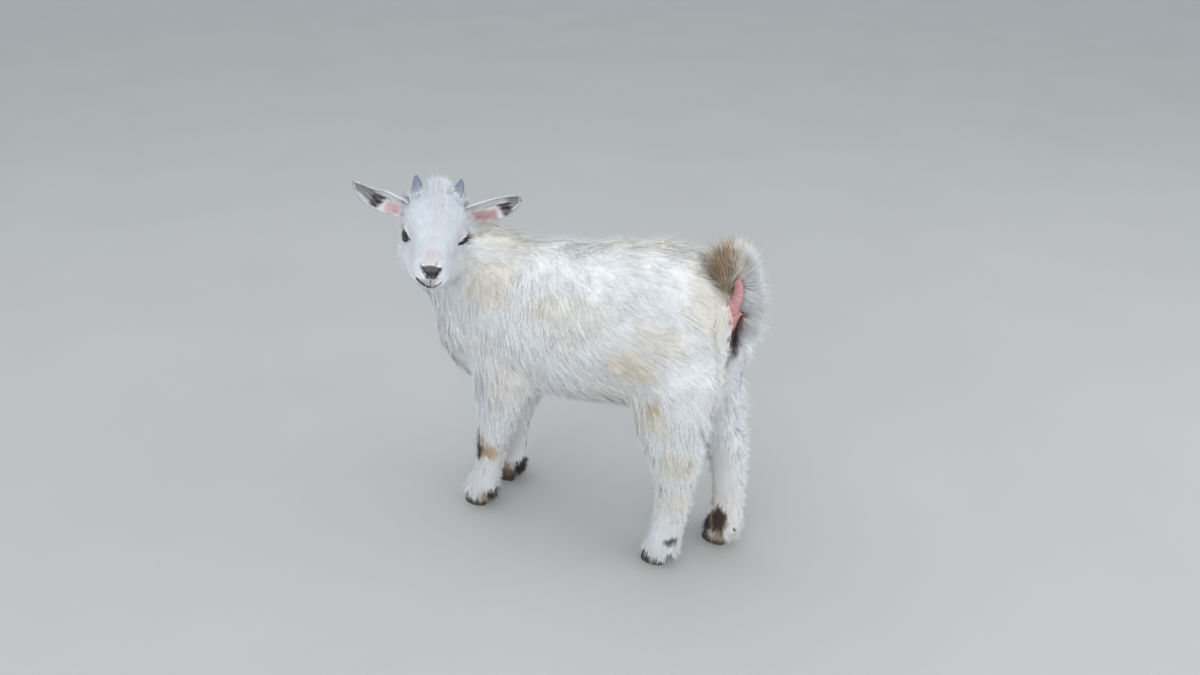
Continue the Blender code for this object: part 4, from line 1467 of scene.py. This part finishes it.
def grow(name, slot, where, density, seed, dress=None, **shape):
    """Grows a coat on some of the skin's faces, in pieces under the limit."""
    face, weights = scatter(where, density, seed)
    order = np.argsort(skin[skin_faces[face, 0], 0], kind="stable")
    face, weights = face[order], weights[order]
    hair = SimpleNamespace(roots=at_roots(skin, face, weights), spread=at_roots(ear_spread, face, weights))
    hair.normals = unit(at_roots(skin_normals, face, weights))
    hair.ways = pressed(at_roots(lie, face, weights), hair.normals)
    hair.sizes = [at_roots(values, face, weights) for values in (length, width, rise)]
    hair.marks = markings(hair.roots)
    if dress is not None:
        dress(hair)
    on_face = at_roots(shares[:, PART["head"]], face, weights)
    places = np.einsum("nij,ni->nj", skin_map[face], weights)
    tone = np.random.default_rng(seed + 1).random(len(face))
    in_fringe = fringe(hair.roots)
    tallest = TALLEST - FLANK_TRIM * np.abs(hair.normals[:, 1]) + FRINGE_RISE * in_fringe
    shape = {"sky": FRINGE_SKY * in_fringe, "tallest": tallest} | shape
    points, along, ups = wisps(hair.roots, hair.normals, hair.ways, *hair.sizes, seed, **shape)
    parts = math.ceil(len(face) * len(wisp_faces((len(along) - 2) // 3)) / COAT_LIMIT)
    for number, picked in enumerate(np.array_split(np.arange(len(face)), parts)):
        coat_piece(f"{name}_{number + 1}", slot, points[picked], along, ups[picked], hair.marks[picked],
                   places[picked], tone[picked], on_face[picked])
    return len(face)


# %% [markdown]
# ### Body, legs and head
# A goat has two coats: long guard hairs, and short fine wool below them. Here the under-coat is a third as
# many broad low wisps, which close the gaps that would show skin. Hair on the legs is gathered into
# stronger locks, and a few long hairs stand out of the crown. A dresser is a function that changes the hair
# of one place.

# %% Body and legs
UNDERCOAT = 0.36  # wisps of undercoat for each one of the top coat
BROADER = 2.8  # how much broader they are
BROADEST = 0.085  # their greatest width as a share of their length
TOP_SEED = 100
UNDER_SEED = 150
main_part = np.argmax(np.stack([shares[skin_faces, k].mean(1) for k in range(len(FLESH))], 1), axis=1)
LEG_HAIR = {"gather": 0.50, "strays": 0.20, "uneven": 0.45}
REGIONS = {
    "coat_trunk": (("trunk",), {}),
    "coat_neck": (("neck",), {"gather": 0.22}),
    "coat_legs_front": (LEGS[:2], LEG_HAIR),
    "coat_legs_hind": (LEGS[2:], LEG_HAIR),
}


def undercoat(hair):
    """Short broad wisps that lie low and close the gaps between the long ones."""
    length, width, rise = hair.sizes
    hair.sizes = (length * 0.60, np.minimum(width * BROADER, length * BROADEST), rise * 0.8)


def faces_of(parts):
    """The skin's faces that belong most to some parts."""
    return np.flatnonzero(np.isin(main_part, [PART[part] for part in parts]))


def dress_head(hair):
    """Lets a few long hairs stand out of the crown."""
    length, width, rise = hair.sizes
    peak = crown(to_head(hair.roots))[0]
    few = (np.random.default_rng(7).random(len(peak)) < 0.05) * ease(peak, 0.3, 0.6)
    hair.sizes = (length * (1.0 + 1.0 * few), width * (1.0 - 0.3 * few), rise + 0.4 * few)


hair_number = 0
for region, (name, (parts, shape)) in enumerate(REGIONS.items()):
    where = faces_of(parts)
    few = crowd * UNDERCOAT
    hair_number += grow(name + "_under", "coat", where, few, UNDER_SEED + region, undercoat, strays=0.0)
    hair_number += grow(name, "coat", where, crowd, TOP_SEED + region, **shape)
hair_number += grow("coat_head", "coat", faces_of(["head"]), crowd, 104, dress_head, lock_size=10)
print("tufts on body and head:", hair_number)

# %% [markdown]
# ## The tail
# The kid holds its tail up, so hair that normally lies over the rump stands as a fan. One edge of the fan
# is tan with two dark streaks, the other is white. It is grown from the core like the rest of the coat,
# only longer: each wisp takes a heading between the fan's edges by the way its root faces, and stops where
# the tail's solid ends. Its colour follows that heading, since a streak in real hair keeps its colour from
# root to tip.

# %% Tail hair
SHORTEST, LONGEST = 0.006, 0.046  # of the tail's hairs
tail_solid = BVHTree.FromPolygons(*(part.tolist() for part in node_mesh("tail")))


def reach_of(roots, ways, far=0.08, otherwise=0.014):
    """How far each hair has to run to end on the tail's solid."""
    reach = np.full(len(roots), otherwise)
    for k, (root, way) in enumerate(zip(roots, ways)):
        distance = tail_solid.ray_cast((root + way * far).tolist(), (-way).tolist(), far)[3]
        if distance is not None:
            reach[k] = far - distance
    return reach


def dress_tail(hair):
    """Spreads the tail's hair into a fan that ends on its solid, and gives it tan, dark and white."""
    roots, normals, marks = hair.roots, hair.normals, hair.marks
    backs = 0.5 + 0.5 * normals[:, 0]
    height = shares_of_box(roots, "tail")[:, 2]
    right = ease(normals[:, 1], -0.35, 0.25)
    turn = (28.0 + 48.0 * right) * backs + 6.0 * waves(roots, 0.007, 31)  # degrees, from the tan edge
    heading = 68.0 - 22.0 * (1.0 - backs) * ease(height, 0.20, 0.55) + turn
    heading += 70.0 * right * ease(backs, 0.4, 0.9) * ease(height, 0.80, 0.10)
    angle = np.radians(heading)
    fan = unit(np.stack((-np.cos(angle), 0.45 * normals[:, 1], np.sin(angle)), 1))
    edge = ease(np.abs(turn - 1.0), 5.0, 2.0)
    streak = ease(np.abs(turn - 12.0 - 4.0 * waves(roots, 0.004, 32)), 3.6, 1.4)
    marks[:, CREAM] = 0.45 * ease(turn, 57.0, 36.0)
    marks[:, TAN] = 0.85 * ease(turn, 27.0, 12.0)
    marks[:, DARK] = np.maximum(0.55 * edge, 0.62 * streak)
    marks[:, PINK] = 0.0
    length = np.clip(reach_of(roots, fan) * (0.90 + 0.10 * right * backs), SHORTEST, LONGEST)
    rise = np.arcsin(np.clip(np.sum(fan * normals, axis=1), 0.02, 0.98))
    hair.ways = pressed(fan, normals)
    hair.sizes = (length, hair.sizes[1], rise)


grow("coat_tail", "tail_coat", faces_of(["tail"]), crowd, 300, dress_tail, rings=(0.30, 0.66), lock_size=7,
     gather=0.3, droop=-0.09, strays=0.0, clings=False, sky=0.78, tallest=1.0)

# %% [markdown]
# ## Hair of the ears
# Outside, short white hair lies towards the tip and stands past the rim as a pale edge. Inside, the hollow
# is bare and pink, and from its middle to its tip dark and grey streaks run lengthwise. The ear's own grid
# says where a root is, so its marks are the ones painted on the skin beneath.

# %% Ear hair
EAR_HAIR_WIDTH = 0.00040
EAR_CROWD = (1.0e6, 1.2e6)  # tufts to the square metre inside and outside


def dress_ear(hair):
    """Lays an ear's hair along it, short outside and streaked inside."""
    t, k, inner = hair.spread.T
    places = to_head(hair.roots)
    side = np.where(places[:, 1] > 0, 1, -1)
    ways = np.zeros_like(places)
    for one in SIDES:
        along, across, _ = ear_frame(one)
        way = along + column(0.35 * k) * across
        ways[side == one] = (way @ HEAD)[side == one]
    hair.ways = pressed(ways, hair.normals)
    length = np.where(inner > 0.5, 0.0034 + 0.0020 * ease(k, 0.15, 0.35), 0.0042)
    length = length * (1.0 - 0.35 * ease(t, 0.75, 1.0))
    hair.sizes = (length, np.full(len(t), EAR_HAIR_WIDTH), 0.12 + 0.06 * ease(np.abs(k), 0.40, 0.48))
    hair.marks = ear_marks(hair.spread, side, places)
    hair.marks[:, DARK] *= ease(k, -0.47, -0.41)
    hair.marks[:, PINK] *= 0.6


t, k, inner = ear_spread.T
start = np.where(head[:, 1] > 0, *DARK_FROM)
near_tip = ease(t, start - 0.04, start + 0.06)
near_rim = ease(np.abs(k), 0.43, 0.47)
hairy = np.max((near_tip, ease(k, -0.14, 0.02), near_rim), axis=0)
ear_crowd = np.where(inner > 0.5, EAR_CROWD[0] * hairy, EAR_CROWD[1]) * is_ear
ear_faces = np.flatnonzero(is_ear[skin_faces].all(1))
grow("coat_ears", "ear_coat", ear_faces, ear_crowd, 310, dress_ear, lock_size=5, strays=0.0, clings=False)

# %% [markdown]
# ## Lashes
# A goat's lashes are pale and stand along the outer half of its upper lid. They are tufts as well, only few
# and set by rule: evenly along the lid's edge, out and upwards from the ball.

# %% Lashes
LASHES = 16  # on each upper lid
LASH_LENGTH = 0.0048
LASH_WIDTH = 0.00034
LASH_MARKS = (0.0, 0.0, 1.0, 0.0)  # all dark


def lashes(side):
    """Roots, directions and outward normals of the lashes along the outer half of an upper lid."""
    centre, axes = EYES[side]
    across = CORNER * np.linspace(0.05, 0.97, LASHES)
    upper, _ = lid_edges(across, side)
    outward = off_gaze(np.hypot(across, upper), np.arctan2(upper, across))
    roots = centre + (EYE_RADIUS + 0.0008) * (outward @ axes)
    ways = outward + (0.3, 0.5, 0.5)
    return from_head(roots), unit(ways @ axes @ HEAD), unit(outward @ axes @ HEAD)


for side, name in SIDES.items():
    roots, ways, outward = lashes(side)
    flat = pressed(ways, outward)
    rises = np.arcsin(np.clip(np.sum(ways * outward, axis=1), -1.0, 1.0))
    even = np.ones(LASHES)
    points, along, ups = wisps(roots, outward, flat, LASH_LENGTH * even, LASH_WIDTH * even, rises, 321,
                               rings=(0.30, 0.66), lock_size=4, strays=0.0, clings=False)
    nearest = [skin_tree.find_nearest(root)[2] for root in roots.tolist()]
    coat_piece(f"lashes_{name}", "coat", points, along, ups, np.tile(LASH_MARKS, (LASHES, 1)),
               skin_map[nearest].mean(1), even, even)

# %% [markdown]
# ## Eyes
# A goat's eye is a dark brown ball with a pupil like a letter box and a clear, slightly bulging cornea. The
# ball is built round its gaze, so that every point knows its angle from it. The material reads those angles
# to place pupil and iris, and a clear coat gives the wet highlight.

# %% Eyeballs
CORNEA = math.radians(36)
BULGE = 0.0005
EYE_TURNS = 72
EYE_STEPS = 48


def eyeball(side):
    """One eye as a fine ball with a bulging cornea, and its angles from the gaze."""
    centre, axes = EYES[side]
    angle = np.linspace(0.0, math.pi, EYE_STEPS + 1)[1:-1]
    heading = np.linspace(0.0, math.tau, EYE_TURNS, endpoint=False)
    angle, heading = np.meshgrid(angle, heading, indexing="ij")
    angle = np.append(angle.ravel(), (0.0, math.pi))
    heading = np.append(heading.ravel(), (0.0, 0.0))
    reach = EYE_RADIUS + BULGE * np.clip(1.0 - (angle / CORNEA) ** 2, 0.0, 1.0)
    points = from_head(centre + reach[:, None] * (off_gaze(angle, heading) @ axes))
    index = np.arange((EYE_STEPS - 1) * EYE_TURNS).reshape(EYE_STEPS - 1, EYE_TURNS)
    ahead = np.roll(index, -1, axis=1)
    faces = corners(np.stack((index[:-1], index[1:], ahead[1:], ahead[:-1]), -1).reshape(-1, 4))
    front, back = len(points) - 2, len(points) - 1
    caps = np.concatenate((np.stack((np.full(EYE_TURNS, front), index[0], ahead[0]), 1),
                           np.stack((np.full(EYE_TURNS, back), ahead[-1], index[-1]), 1)))
    faces = outward_faces(points, np.concatenate((faces, caps)))
    sight = np.stack((angle * np.cos(heading), angle * np.sin(heading), angle, np.ones(len(angle))), 1)
    return points, faces, sight


def stand_in(node, ending, points, faces, slot, title, values):
    """A hard piece in the place of one solid, with four numbers stored for each point."""
    made = piece(f"{node}_{ending}", points, faces)
    mark(made, title, values)
    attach(made, "root")
    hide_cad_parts(node)
    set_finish(made, slot)
    return made


eyes = []
for side, name in SIDES.items():
    points, faces, sight = eyeball(side)
    eyes.append(stand_in(f"eye_{name}", "ball", points, faces, "eye", "sight", sight))
print("eyes:", [len(eye.data.polygons) for eye in eyes])

# %% [markdown]
# ## Horns, hooves and dewclaws
# These are keratin, which grows in layers: faint rings round the horn buds, and faint lines on the hoof
# walls that run level with the coronet. The solids have the right size and place, so each is refined where
# it stands. A subdivision surface rounds a horn bud, and waves along its normals give it rings.

# %% Horn buds
def rounded(name, levels):
    """A solid's mesh under a subdivision surface, as triangles."""
    return read_bmesh(modified(*node_mesh(name), "SUBSURF", levels=levels, render_levels=levels))


def grown(reach, lines):
    """How far up horn or hoof each point lies, whether it is on a line, and two spare numbers."""
    nothing = np.zeros(len(reach))
    return np.stack((reach, lines, nothing, nothing + 1.0), 1)


RING_STEP = 0.0019
RING_HEIGHT = 0.00014
horns = []
for side, name in SIDES.items():
    points, faces = rounded(f"horn_{name}", 2)
    height = to_head(points)[:, 2]
    rings = np.sin(height * math.tau / RING_STEP + 0.8 * waves(points, 0.006, 41))
    points = points + normals_of(points, faces) * (RING_HEIGHT * rings)[:, None]
    values = grown(ease(height, 0.034, 0.054), rings * 0.5 + 0.5)
    horns.append(stand_in(f"horn_{name}", "bud", points, faces, "horn", "reach", values))
print("horns:", [len(horn.data.polygons) for horn in horns])

# %% [markdown]
# ### Hooves and dewclaws
# A hoof keeps its flat sole and its cleft, which a subdivision surface would round off. So it is remeshed
# finely instead and relaxed, and its sole is set back on the floor. A dewclaw is rounded like a horn bud.

# %% Hooves
HOOF_GRAIN = 0.0009
WALL_STEP = 0.0016
WALL_HEIGHT = 0.00009
CORONET_SLOPE = 0.28
claws = []
for name in [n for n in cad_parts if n.startswith("hoof")]:
    block = fused([node_mesh(name)], HOOF_GRAIN)
    points, faces = read_bmesh(block)
    sole = points[:, 2] < HOOF_GRAIN * 0.6
    points = relax(points, edges_of(faces), 4)
    low, high = points.min(0), points.max(0)
    level = points[:, 2] + CORONET_SLOPE * (points[:, 0] - low[0])
    wall = ease(points[:, 2], 0.001, 0.003) * np.sin(level * math.tau / WALL_STEP + waves(points, 0.012, 42))
    points = points + normals_of(points, faces) * (WALL_HEIGHT * wall)[:, None]
    points[:, 2] = np.where(sole, 0.0, np.maximum(points[:, 2], 0.0))
    values = grown((points[:, 2] - low[2]) / (high[2] - low[2]), wall * 0.5 + 0.5)
    claws.append(stand_in(name, "claw", points, faces, "hoof", "reach", values))
for name in [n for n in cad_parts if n.startswith("dewclaw")]:
    points, faces = rounded(name, 2)
    share = ease(points[:, 2], points[:, 2].min(), points[:, 2].max())
    claws.append(stand_in(name, "knob", points, faces, "hoof", "reach", grown(share, share)))
print("hooves and dewclaws:", len(claws), "pieces,", sum(len(c.data.polygons) for c in claws), "triangles")

# %% [markdown]
# ## Writing materials as sums
# A shader graph is arithmetic drawn as boxes. It is shorter to read as Python, so one small class wraps a
# socket and adds a Math node for each + - * / or power, also when the plain number stands first. Any other
# node comes from one method that takes its type, its settings and its inputs. Colours are mixed and scaled
# by Mix and Vector Math nodes, because a Math node would turn them grey.

# %% Sockets that add up
class Sum:
    """A socket in a material that can be added, multiplied and so on."""

    def __init__(self, finish, socket):
        self.finish = finish
        self.socket = socket

    def math(self, operation, *values):
        return self.finish.node("ShaderNodeMath", {"operation": operation}, dict(enumerate(values)))

    def __add__(self, other):
        return self.math("ADD", self, other)

    def __radd__(self, other):
        return self.math("ADD", other, self)

    def __sub__(self, other):
        return self.math("SUBTRACT", self, other)

    def __rsub__(self, other):
        return self.math("SUBTRACT", other, self)

    def __mul__(self, other):
        return self.math("MULTIPLY", self, other)

    def __rmul__(self, other):
        return self.math("MULTIPLY", other, self)

    def __truediv__(self, other):
        return self.math("DIVIDE", self, other)

    def __pow__(self, other):
        return self.math("POWER", self, other)

    def rise(self, low, high):
        """0 below low and 1 above high, smooth between."""
        inputs = {"Value": self, "From Min": low, "From Max": high}
        return self.finish.node("ShaderNodeMapRange", {"interpolation_type": "SMOOTHSTEP"}, inputs)


# %% [markdown]
# ### A material that makes its own nodes
# A second class holds one material. Its constants are set straight on the shader's sockets, and only what
# varies from place to place comes through nodes. The short names below stand for the nodes that this figure
# needs: mixing, shading, stored marks, places, noise, cells and bumps.

# %% Finishes
class Finish:
    """A material whose nodes are made by plain calls."""

    def __init__(self, name, **constants):
        self.material = bpy.data.materials.new(name)
        self.material.use_nodes = True
        self.tree = self.material.node_tree
        self.shader = self.tree.nodes["Principled BSDF"]
        for socket, value in constants.items():
            self.shader.inputs[socket.replace("_", " ")].default_value = value

    def join(self, value, socket):
        """Links a sum to a socket, or sets a plain number or colour on it."""
        if isinstance(value, Sum):
            self.tree.links.new(value.socket, socket)
        elif isinstance(value, tuple) and len(value) == 3 and len(socket.default_value) == 4:
            socket.default_value = (*value, 1.0)
        else:
            socket.default_value = value

    def node(self, kind, settings, inputs, output=0):
        made = self.tree.nodes.new(kind)
        for name, value in settings.items():
            setattr(made, name, value)
        for name, value in inputs.items():
            self.join(value, made.inputs[name])
        return Sum(self, made.outputs[output])

    def mix(self, share, first, second):
        return self.node("ShaderNodeMix", {"data_type": "RGBA"}, {0: share, 6: first, 7: second}, 2)

    def shade(self, colour, strength):
        return self.node("ShaderNodeVectorMath", {"operation": "SCALE"}, {0: colour, "Scale": strength})

    def read(self, name):
        """The four numbers of a stored mark."""
        found = self.node("ShaderNodeAttribute", {"attribute_name": name}, {}, "Color")
        apart = self.node("ShaderNodeSeparateColor", {}, {"Color": found}, 0)
        sockets = apart.socket.node.outputs
        return [Sum(self, sockets[k]) for k in range(3)] + [Sum(self, found.socket.node.outputs["Alpha"])]

    def place(self):
        """The object's own coordinates, in metres."""
        return self.node("ShaderNodeTexCoord", {}, {}, "Object")

    def stretched(self, scale):
        return self.node("ShaderNodeVectorMath", {"operation": "MULTIPLY"}, {0: self.place(), 1: scale})

    def grain(self, scale, detail=2.0, place=None):
        inputs = {"Vector": place or self.place(), "Scale": scale, "Detail": detail}
        return self.node("ShaderNodeTexNoise", {}, inputs, "Fac")

    def cells(self, scale):
        return self.node("ShaderNodeTexVoronoi", {}, {"Vector": self.place(), "Scale": scale}, "Distance")

    def bump(self, height, strength, distance):
        inputs = {"Height": height, "Strength": strength, "Distance": distance}
        return self.node("ShaderNodeBump", {}, inputs, "Normal")

    def finish(self, **values):
        for name, value in values.items():
            self.join(value, self.shader.inputs[name.replace("_", " ")])
        return self.material


# %% [markdown]
# ## Colours of the coat
# White hair is never one white. Here the white is tinted cool as painted light, for cool daylight on the coat,
# painted shade makes each wisp a little darker towards its root, and each strand differs a little from the
# next. Skin and hair share one recipe: start from white, then lay cream, tan, pink and dark over it by the
# four marks. On the face the white is darker, as painted shade for the face getting less light than the body.

# %% Coat recipe
# painted light: the white is tinted cool, for cool daylight on the coat
WHITE = (0.905, 0.925, 0.955)
# painted shade: the face's white is darker, for the less light that falls on the face
FACE_SHADED_WHITE = (0.78, 0.82, 0.87)
CREAM_TINT = (0.84, 0.75, 0.56)
TAN_TINT = (0.59, 0.39, 0.20)
DARK_TINT = (0.038, 0.028, 0.026)
PINK_TINT = (0.58, 0.27, 0.28)


def marked(finish, base):
    """The base colour with the four marks laid over it."""
    cream, tan, dark, pink = finish.read("marks")
    fleck = finish.grain(900.0, 1.0) * 0.5 + 0.75
    colour = finish.mix(cream * fleck, base, CREAM_TINT)
    colour = finish.mix(tan * fleck, colour, TAN_TINT)
    colour = finish.mix(pink, colour, PINK_TINT)
    return finish.mix(dark.rise(0.05, 0.95), colour, DARK_TINT)


def hair_finish(name, rough):
    """Hair: painted shade makes it a little darker at the root, deep in the coat, and it is uneven from strand
    to strand.
    """
    finish = Finish(name, IOR=1.45, Specular_IOR_Level=0.35)
    along, tone, on_face, _ = finish.read("strand")
    # painted shade: each wisp is darker towards its root
    strength = (0.92 + 0.08 * along.rise(0.0, 0.5)) * (0.95 + 0.05 * tone)
    colour = finish.shade(marked(finish, finish.mix(on_face, WHITE, FACE_SHADED_WHITE)), strength)
    return finish.finish(Base_Color=colour, Roughness=rough + 0.12 * tone)


coat_hair = hair_finish("coat hair", 0.55)
tail_hair = hair_finish("tail hair", 0.50)
ear_hair = hair_finish("ear hair", 0.55)
for coat in coat_pieces:
    coat.data.materials.append({"tail_coat": tail_hair, "ear_coat": ear_hair}.get(coat["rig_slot"], coat_hair))
print("coat pieces:", len(coat_pieces))

# %% [markdown]
# ### Bare skin
# Where hair is thin, the hide shows as a pale pink grey. It is soft and dull, pebbled and wet on the nose,
# and satiny inside the ears. Fine grain goes through a bump, since it is far below the size of the net.

# %% Skin finish
HIDE = (0.88, 0.86, 0.85)
# painted shade: the face's hide is darker, for the less light that falls on the face
FACE_SHADED_HIDE = (0.77, 0.77, 0.79)


def skin_finish():
    """Bare hide: soft and pale, pebbled and wet on the nose, fine and satiny inside the ears."""
    finish = Finish("skin", IOR=1.42, Specular_IOR_Level=0.4)
    wet, pad, hollow, on_face = finish.read("feel")
    patchy = finish.grain(160.0, 3.0)
    colour = finish.shade(marked(finish, finish.mix(on_face, HIDE, FACE_SHADED_HIDE)), 0.86 + 0.24 * patchy)
    rough = 0.62 - 0.22 * wet - 0.10 * hollow
    pebbles = finish.cells(1100.0) * pad + finish.grain(1500.0, 2.0) * 0.35
    return finish.finish(Base_Color=colour, Roughness=rough, Normal=finish.bump(pebbles, 0.35, 0.0006))


hide_obj.data.materials.append(skin_finish())

# %% [markdown]
# ### Eyes
# The eyeball's stored angles say how far a point lies from the gaze. The pupil is a wide oval of those
# angles, nearly black, in a very dark brown iris. A clear coat over both, as on a glazed pot, gives the wet
# highlight.

# %% Eye finish
PUPIL = (0.36, 0.24)  # half its width and height, as angles
IRIS_ENDS = (0.56, 0.66)


def eye_finish():
    """A dark brown iris round a wide pupil, under a clear wet coat."""
    finish = Finish("eye", IOR=1.38, Coat_Weight=1.0, Coat_Roughness=0.02, Coat_IOR=1.4)
    across, up, turn, _ = finish.read("sight")
    slot = ((across * across) / PUPIL[0] ** 2 + (up * up) / PUPIL[1] ** 2) ** 0.5
    rays = finish.grain(700.0, 2.0)
    iris = finish.mix(rays, (0.014, 0.007, 0.004), (0.030, 0.015, 0.008))
    colour = finish.mix(slot.rise(0.9, 1.1), (0.004, 0.004, 0.005), iris)
    colour = finish.mix(turn.rise(*IRIS_ENDS), colour, (0.014, 0.010, 0.009))
    return finish.finish(Base_Color=colour, Roughness=0.22)


def wear(pieces, material):
    """Gives one material to several pieces."""
    for worn in pieces:
        worn.data.materials.append(material)


wear(eyes, eye_finish())

# %% [markdown]
# ### Horn and hoof
# Keratin is made of fibres that run from root to tip, so noise is stretched along Z for both. Horn buds are
# slate blue and paler at the root, where scurf clings to them. Hooves are nearly black, and worn greyer
# below.

# %% Horn and hoof finish
STREAK = (12.0, 12.0, 1.5)  # how much finer the noise is across the fibres than along them
FIBRE = (14.0, 14.0, 1.5)


def horn_finish():
    """Slate-grey horn: paler and scurfy at its root, streaked lengthwise."""
    finish = Finish("horn", IOR=1.5)
    reach, ring, _, _ = finish.read("reach")
    streaks = finish.grain(60.0, 4.0, finish.stretched(STREAK))
    colour = finish.mix(streaks, (0.085, 0.11, 0.17), (0.26, 0.30, 0.39))
    colour = finish.mix((1.0 - reach) * 0.5, colour, (0.42, 0.42, 0.44))
    colour = finish.shade(colour, 0.80 + 0.25 * ring)
    bump = finish.bump(streaks + 0.4 * finish.grain(900.0), 0.3, 0.0005)
    return finish.finish(Base_Color=colour, Roughness=0.42 + 0.2 * streaks, Normal=bump)


def hoof_finish():
    """Dark brown hoof: greyer and dull at its worn edge, with lines down the wall."""
    finish = Finish("hoof", IOR=1.5)
    share, line, _, _ = finish.read("reach")
    fibres = finish.grain(70.0, 4.0, finish.stretched(FIBRE))
    colour = finish.mix(fibres, (0.020, 0.015, 0.012), (0.075, 0.057, 0.045))
    colour = finish.mix(0.55 * (1.0 - share.rise(0.0, 0.25)), colour, (0.13, 0.105, 0.085))
    colour = finish.shade(colour, 0.80 + 0.3 * line)
    bump = finish.bump(fibres + 0.3 * finish.grain(1200.0), 0.35, 0.0005)
    return finish.finish(Base_Color=colour, Roughness=0.40 + 0.25 * fibres, Normal=bump)


wear(horns, horn_finish())
wear(claws, hoof_finish())
print("materials:", len(bpy.data.materials))

# %% [markdown]
# ## Floor and light
# The figure stands on a plain pale floor. White fur needs soft light, or every wisp throws a hard shadow.
# So a pale sky does most of the work, helped by three wide panels: one overhead, one at the kid's left,
# which the camera sees, and one behind it, which keeps the rump and the fan of the tail white.

# %% Stage
FLOOR_SIZE = 40.0
half = FLOOR_SIZE / 2
floor = piece("floor", [(-half, -half, 0.0), (half, -half, 0.0), (half, half, 0.0), (-half, half, 0.0)],
              np.array([[0, 1, 2, 3]]))
floor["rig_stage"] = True


def floor_finish():
    """A dull pale grey with broad faint clouds."""
    finish = Finish("floor", Roughness=0.8)
    clouds = finish.mix(finish.grain(3.0, 3.0), (0.46, 0.455, 0.44), (0.51, 0.505, 0.49))
    return finish.finish(Base_Color=clouds)


floor.data.materials.append(floor_finish())


def aimed(obj, place, target):
    """Puts a light or camera at a place, looking at a target."""
    from_place = bpy.data.objects.new(obj.name, obj)
    direction = np.asarray(target, float) - np.asarray(place, float)
    from_place.location = place
    from_place.rotation_euler = Vector(direction).to_track_quat("-Z", "Y").to_euler()
    bpy.context.scene.collection.objects.link(from_place)
    return from_place


CENTRE = np.mean(solid_box, axis=0)
SKY = (0.86, 0.93, 1.0, 1.0)
SKY_STRENGTH = 0.80
LIGHTS = (
    # name, place, side of the panel, power
    ("key", (-0.6, -0.4, 2.5), 2.4, 15.0),
    ("fill", (0.4, -2.3, 0.9), 2.6, 30.0),
    ("rear", (2.2, 0.2, 0.9), 2.0, 22.0),
)
for name, place, size, power in LIGHTS:
    panel = bpy.data.lights.new(name, "AREA")
    panel.size = size
    panel.energy = power
    aimed(panel, place, CENTRE)
sky = bpy.data.worlds.new("sky")
sky.use_nodes = True
sky.node_tree.nodes["Background"].inputs["Color"].default_value = SKY
sky.node_tree.nodes["Background"].inputs["Strength"].default_value = SKY_STRENGTH
bpy.context.scene.world = sky
bpy.context.scene.view_settings.view_transform = "Standard"
print("panels:", [name for name, *_ in LIGHTS])

# %% [markdown]
# ## Camera
# The camera looks down on the kid from behind its left hip. The turned head faces it from there, and every
# foot can be seen.

# %% Camera
CAMERA_AT = (0.3781, -0.6809, 0.6726)
CAMERA_LOOKS = (-0.3722, 0.7915, -0.4848)
FOCAL = 25.5  # millimetres on a sensor 36 wide
lens = bpy.data.cameras.new("camera")
lens.lens = FOCAL
lens.sensor_width = 36.0
lens.clip_start = 0.01
camera = aimed(lens, CAMERA_AT, np.array(CAMERA_AT) + np.array(CAMERA_LOOKS))
bpy.context.scene.camera = camera
print("camera", np.round(CAMERA_AT, 3), "lens", FOCAL)

# %% [markdown]
# ## Measure and finish
# The dressed figure's box is measured and set against its solids' box, and how far the tips of the coat pass
# the solids at each end is printed, so that it can be compared after each change. The dressed figure has to
# fill the same box as its solids, give or take the tips of the coat.

# %% Finish
bpy.context.view_layer.update()
dressed_box = [list(corner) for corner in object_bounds()]
for axis, label in enumerate("XYZ"):
    ends = [round(1000 * (dressed_box[end][axis] - solid_box[end][axis]), 1) for end in (0, 1)]
    print(f"{label}: the coat passes the solids by {ends} mm")
seen = [o for o in bpy.context.scene.objects if o.type == "MESH" and not o.hide_render]
print("triangles in all:", sum(len(o.data.polygons) for o in seen))
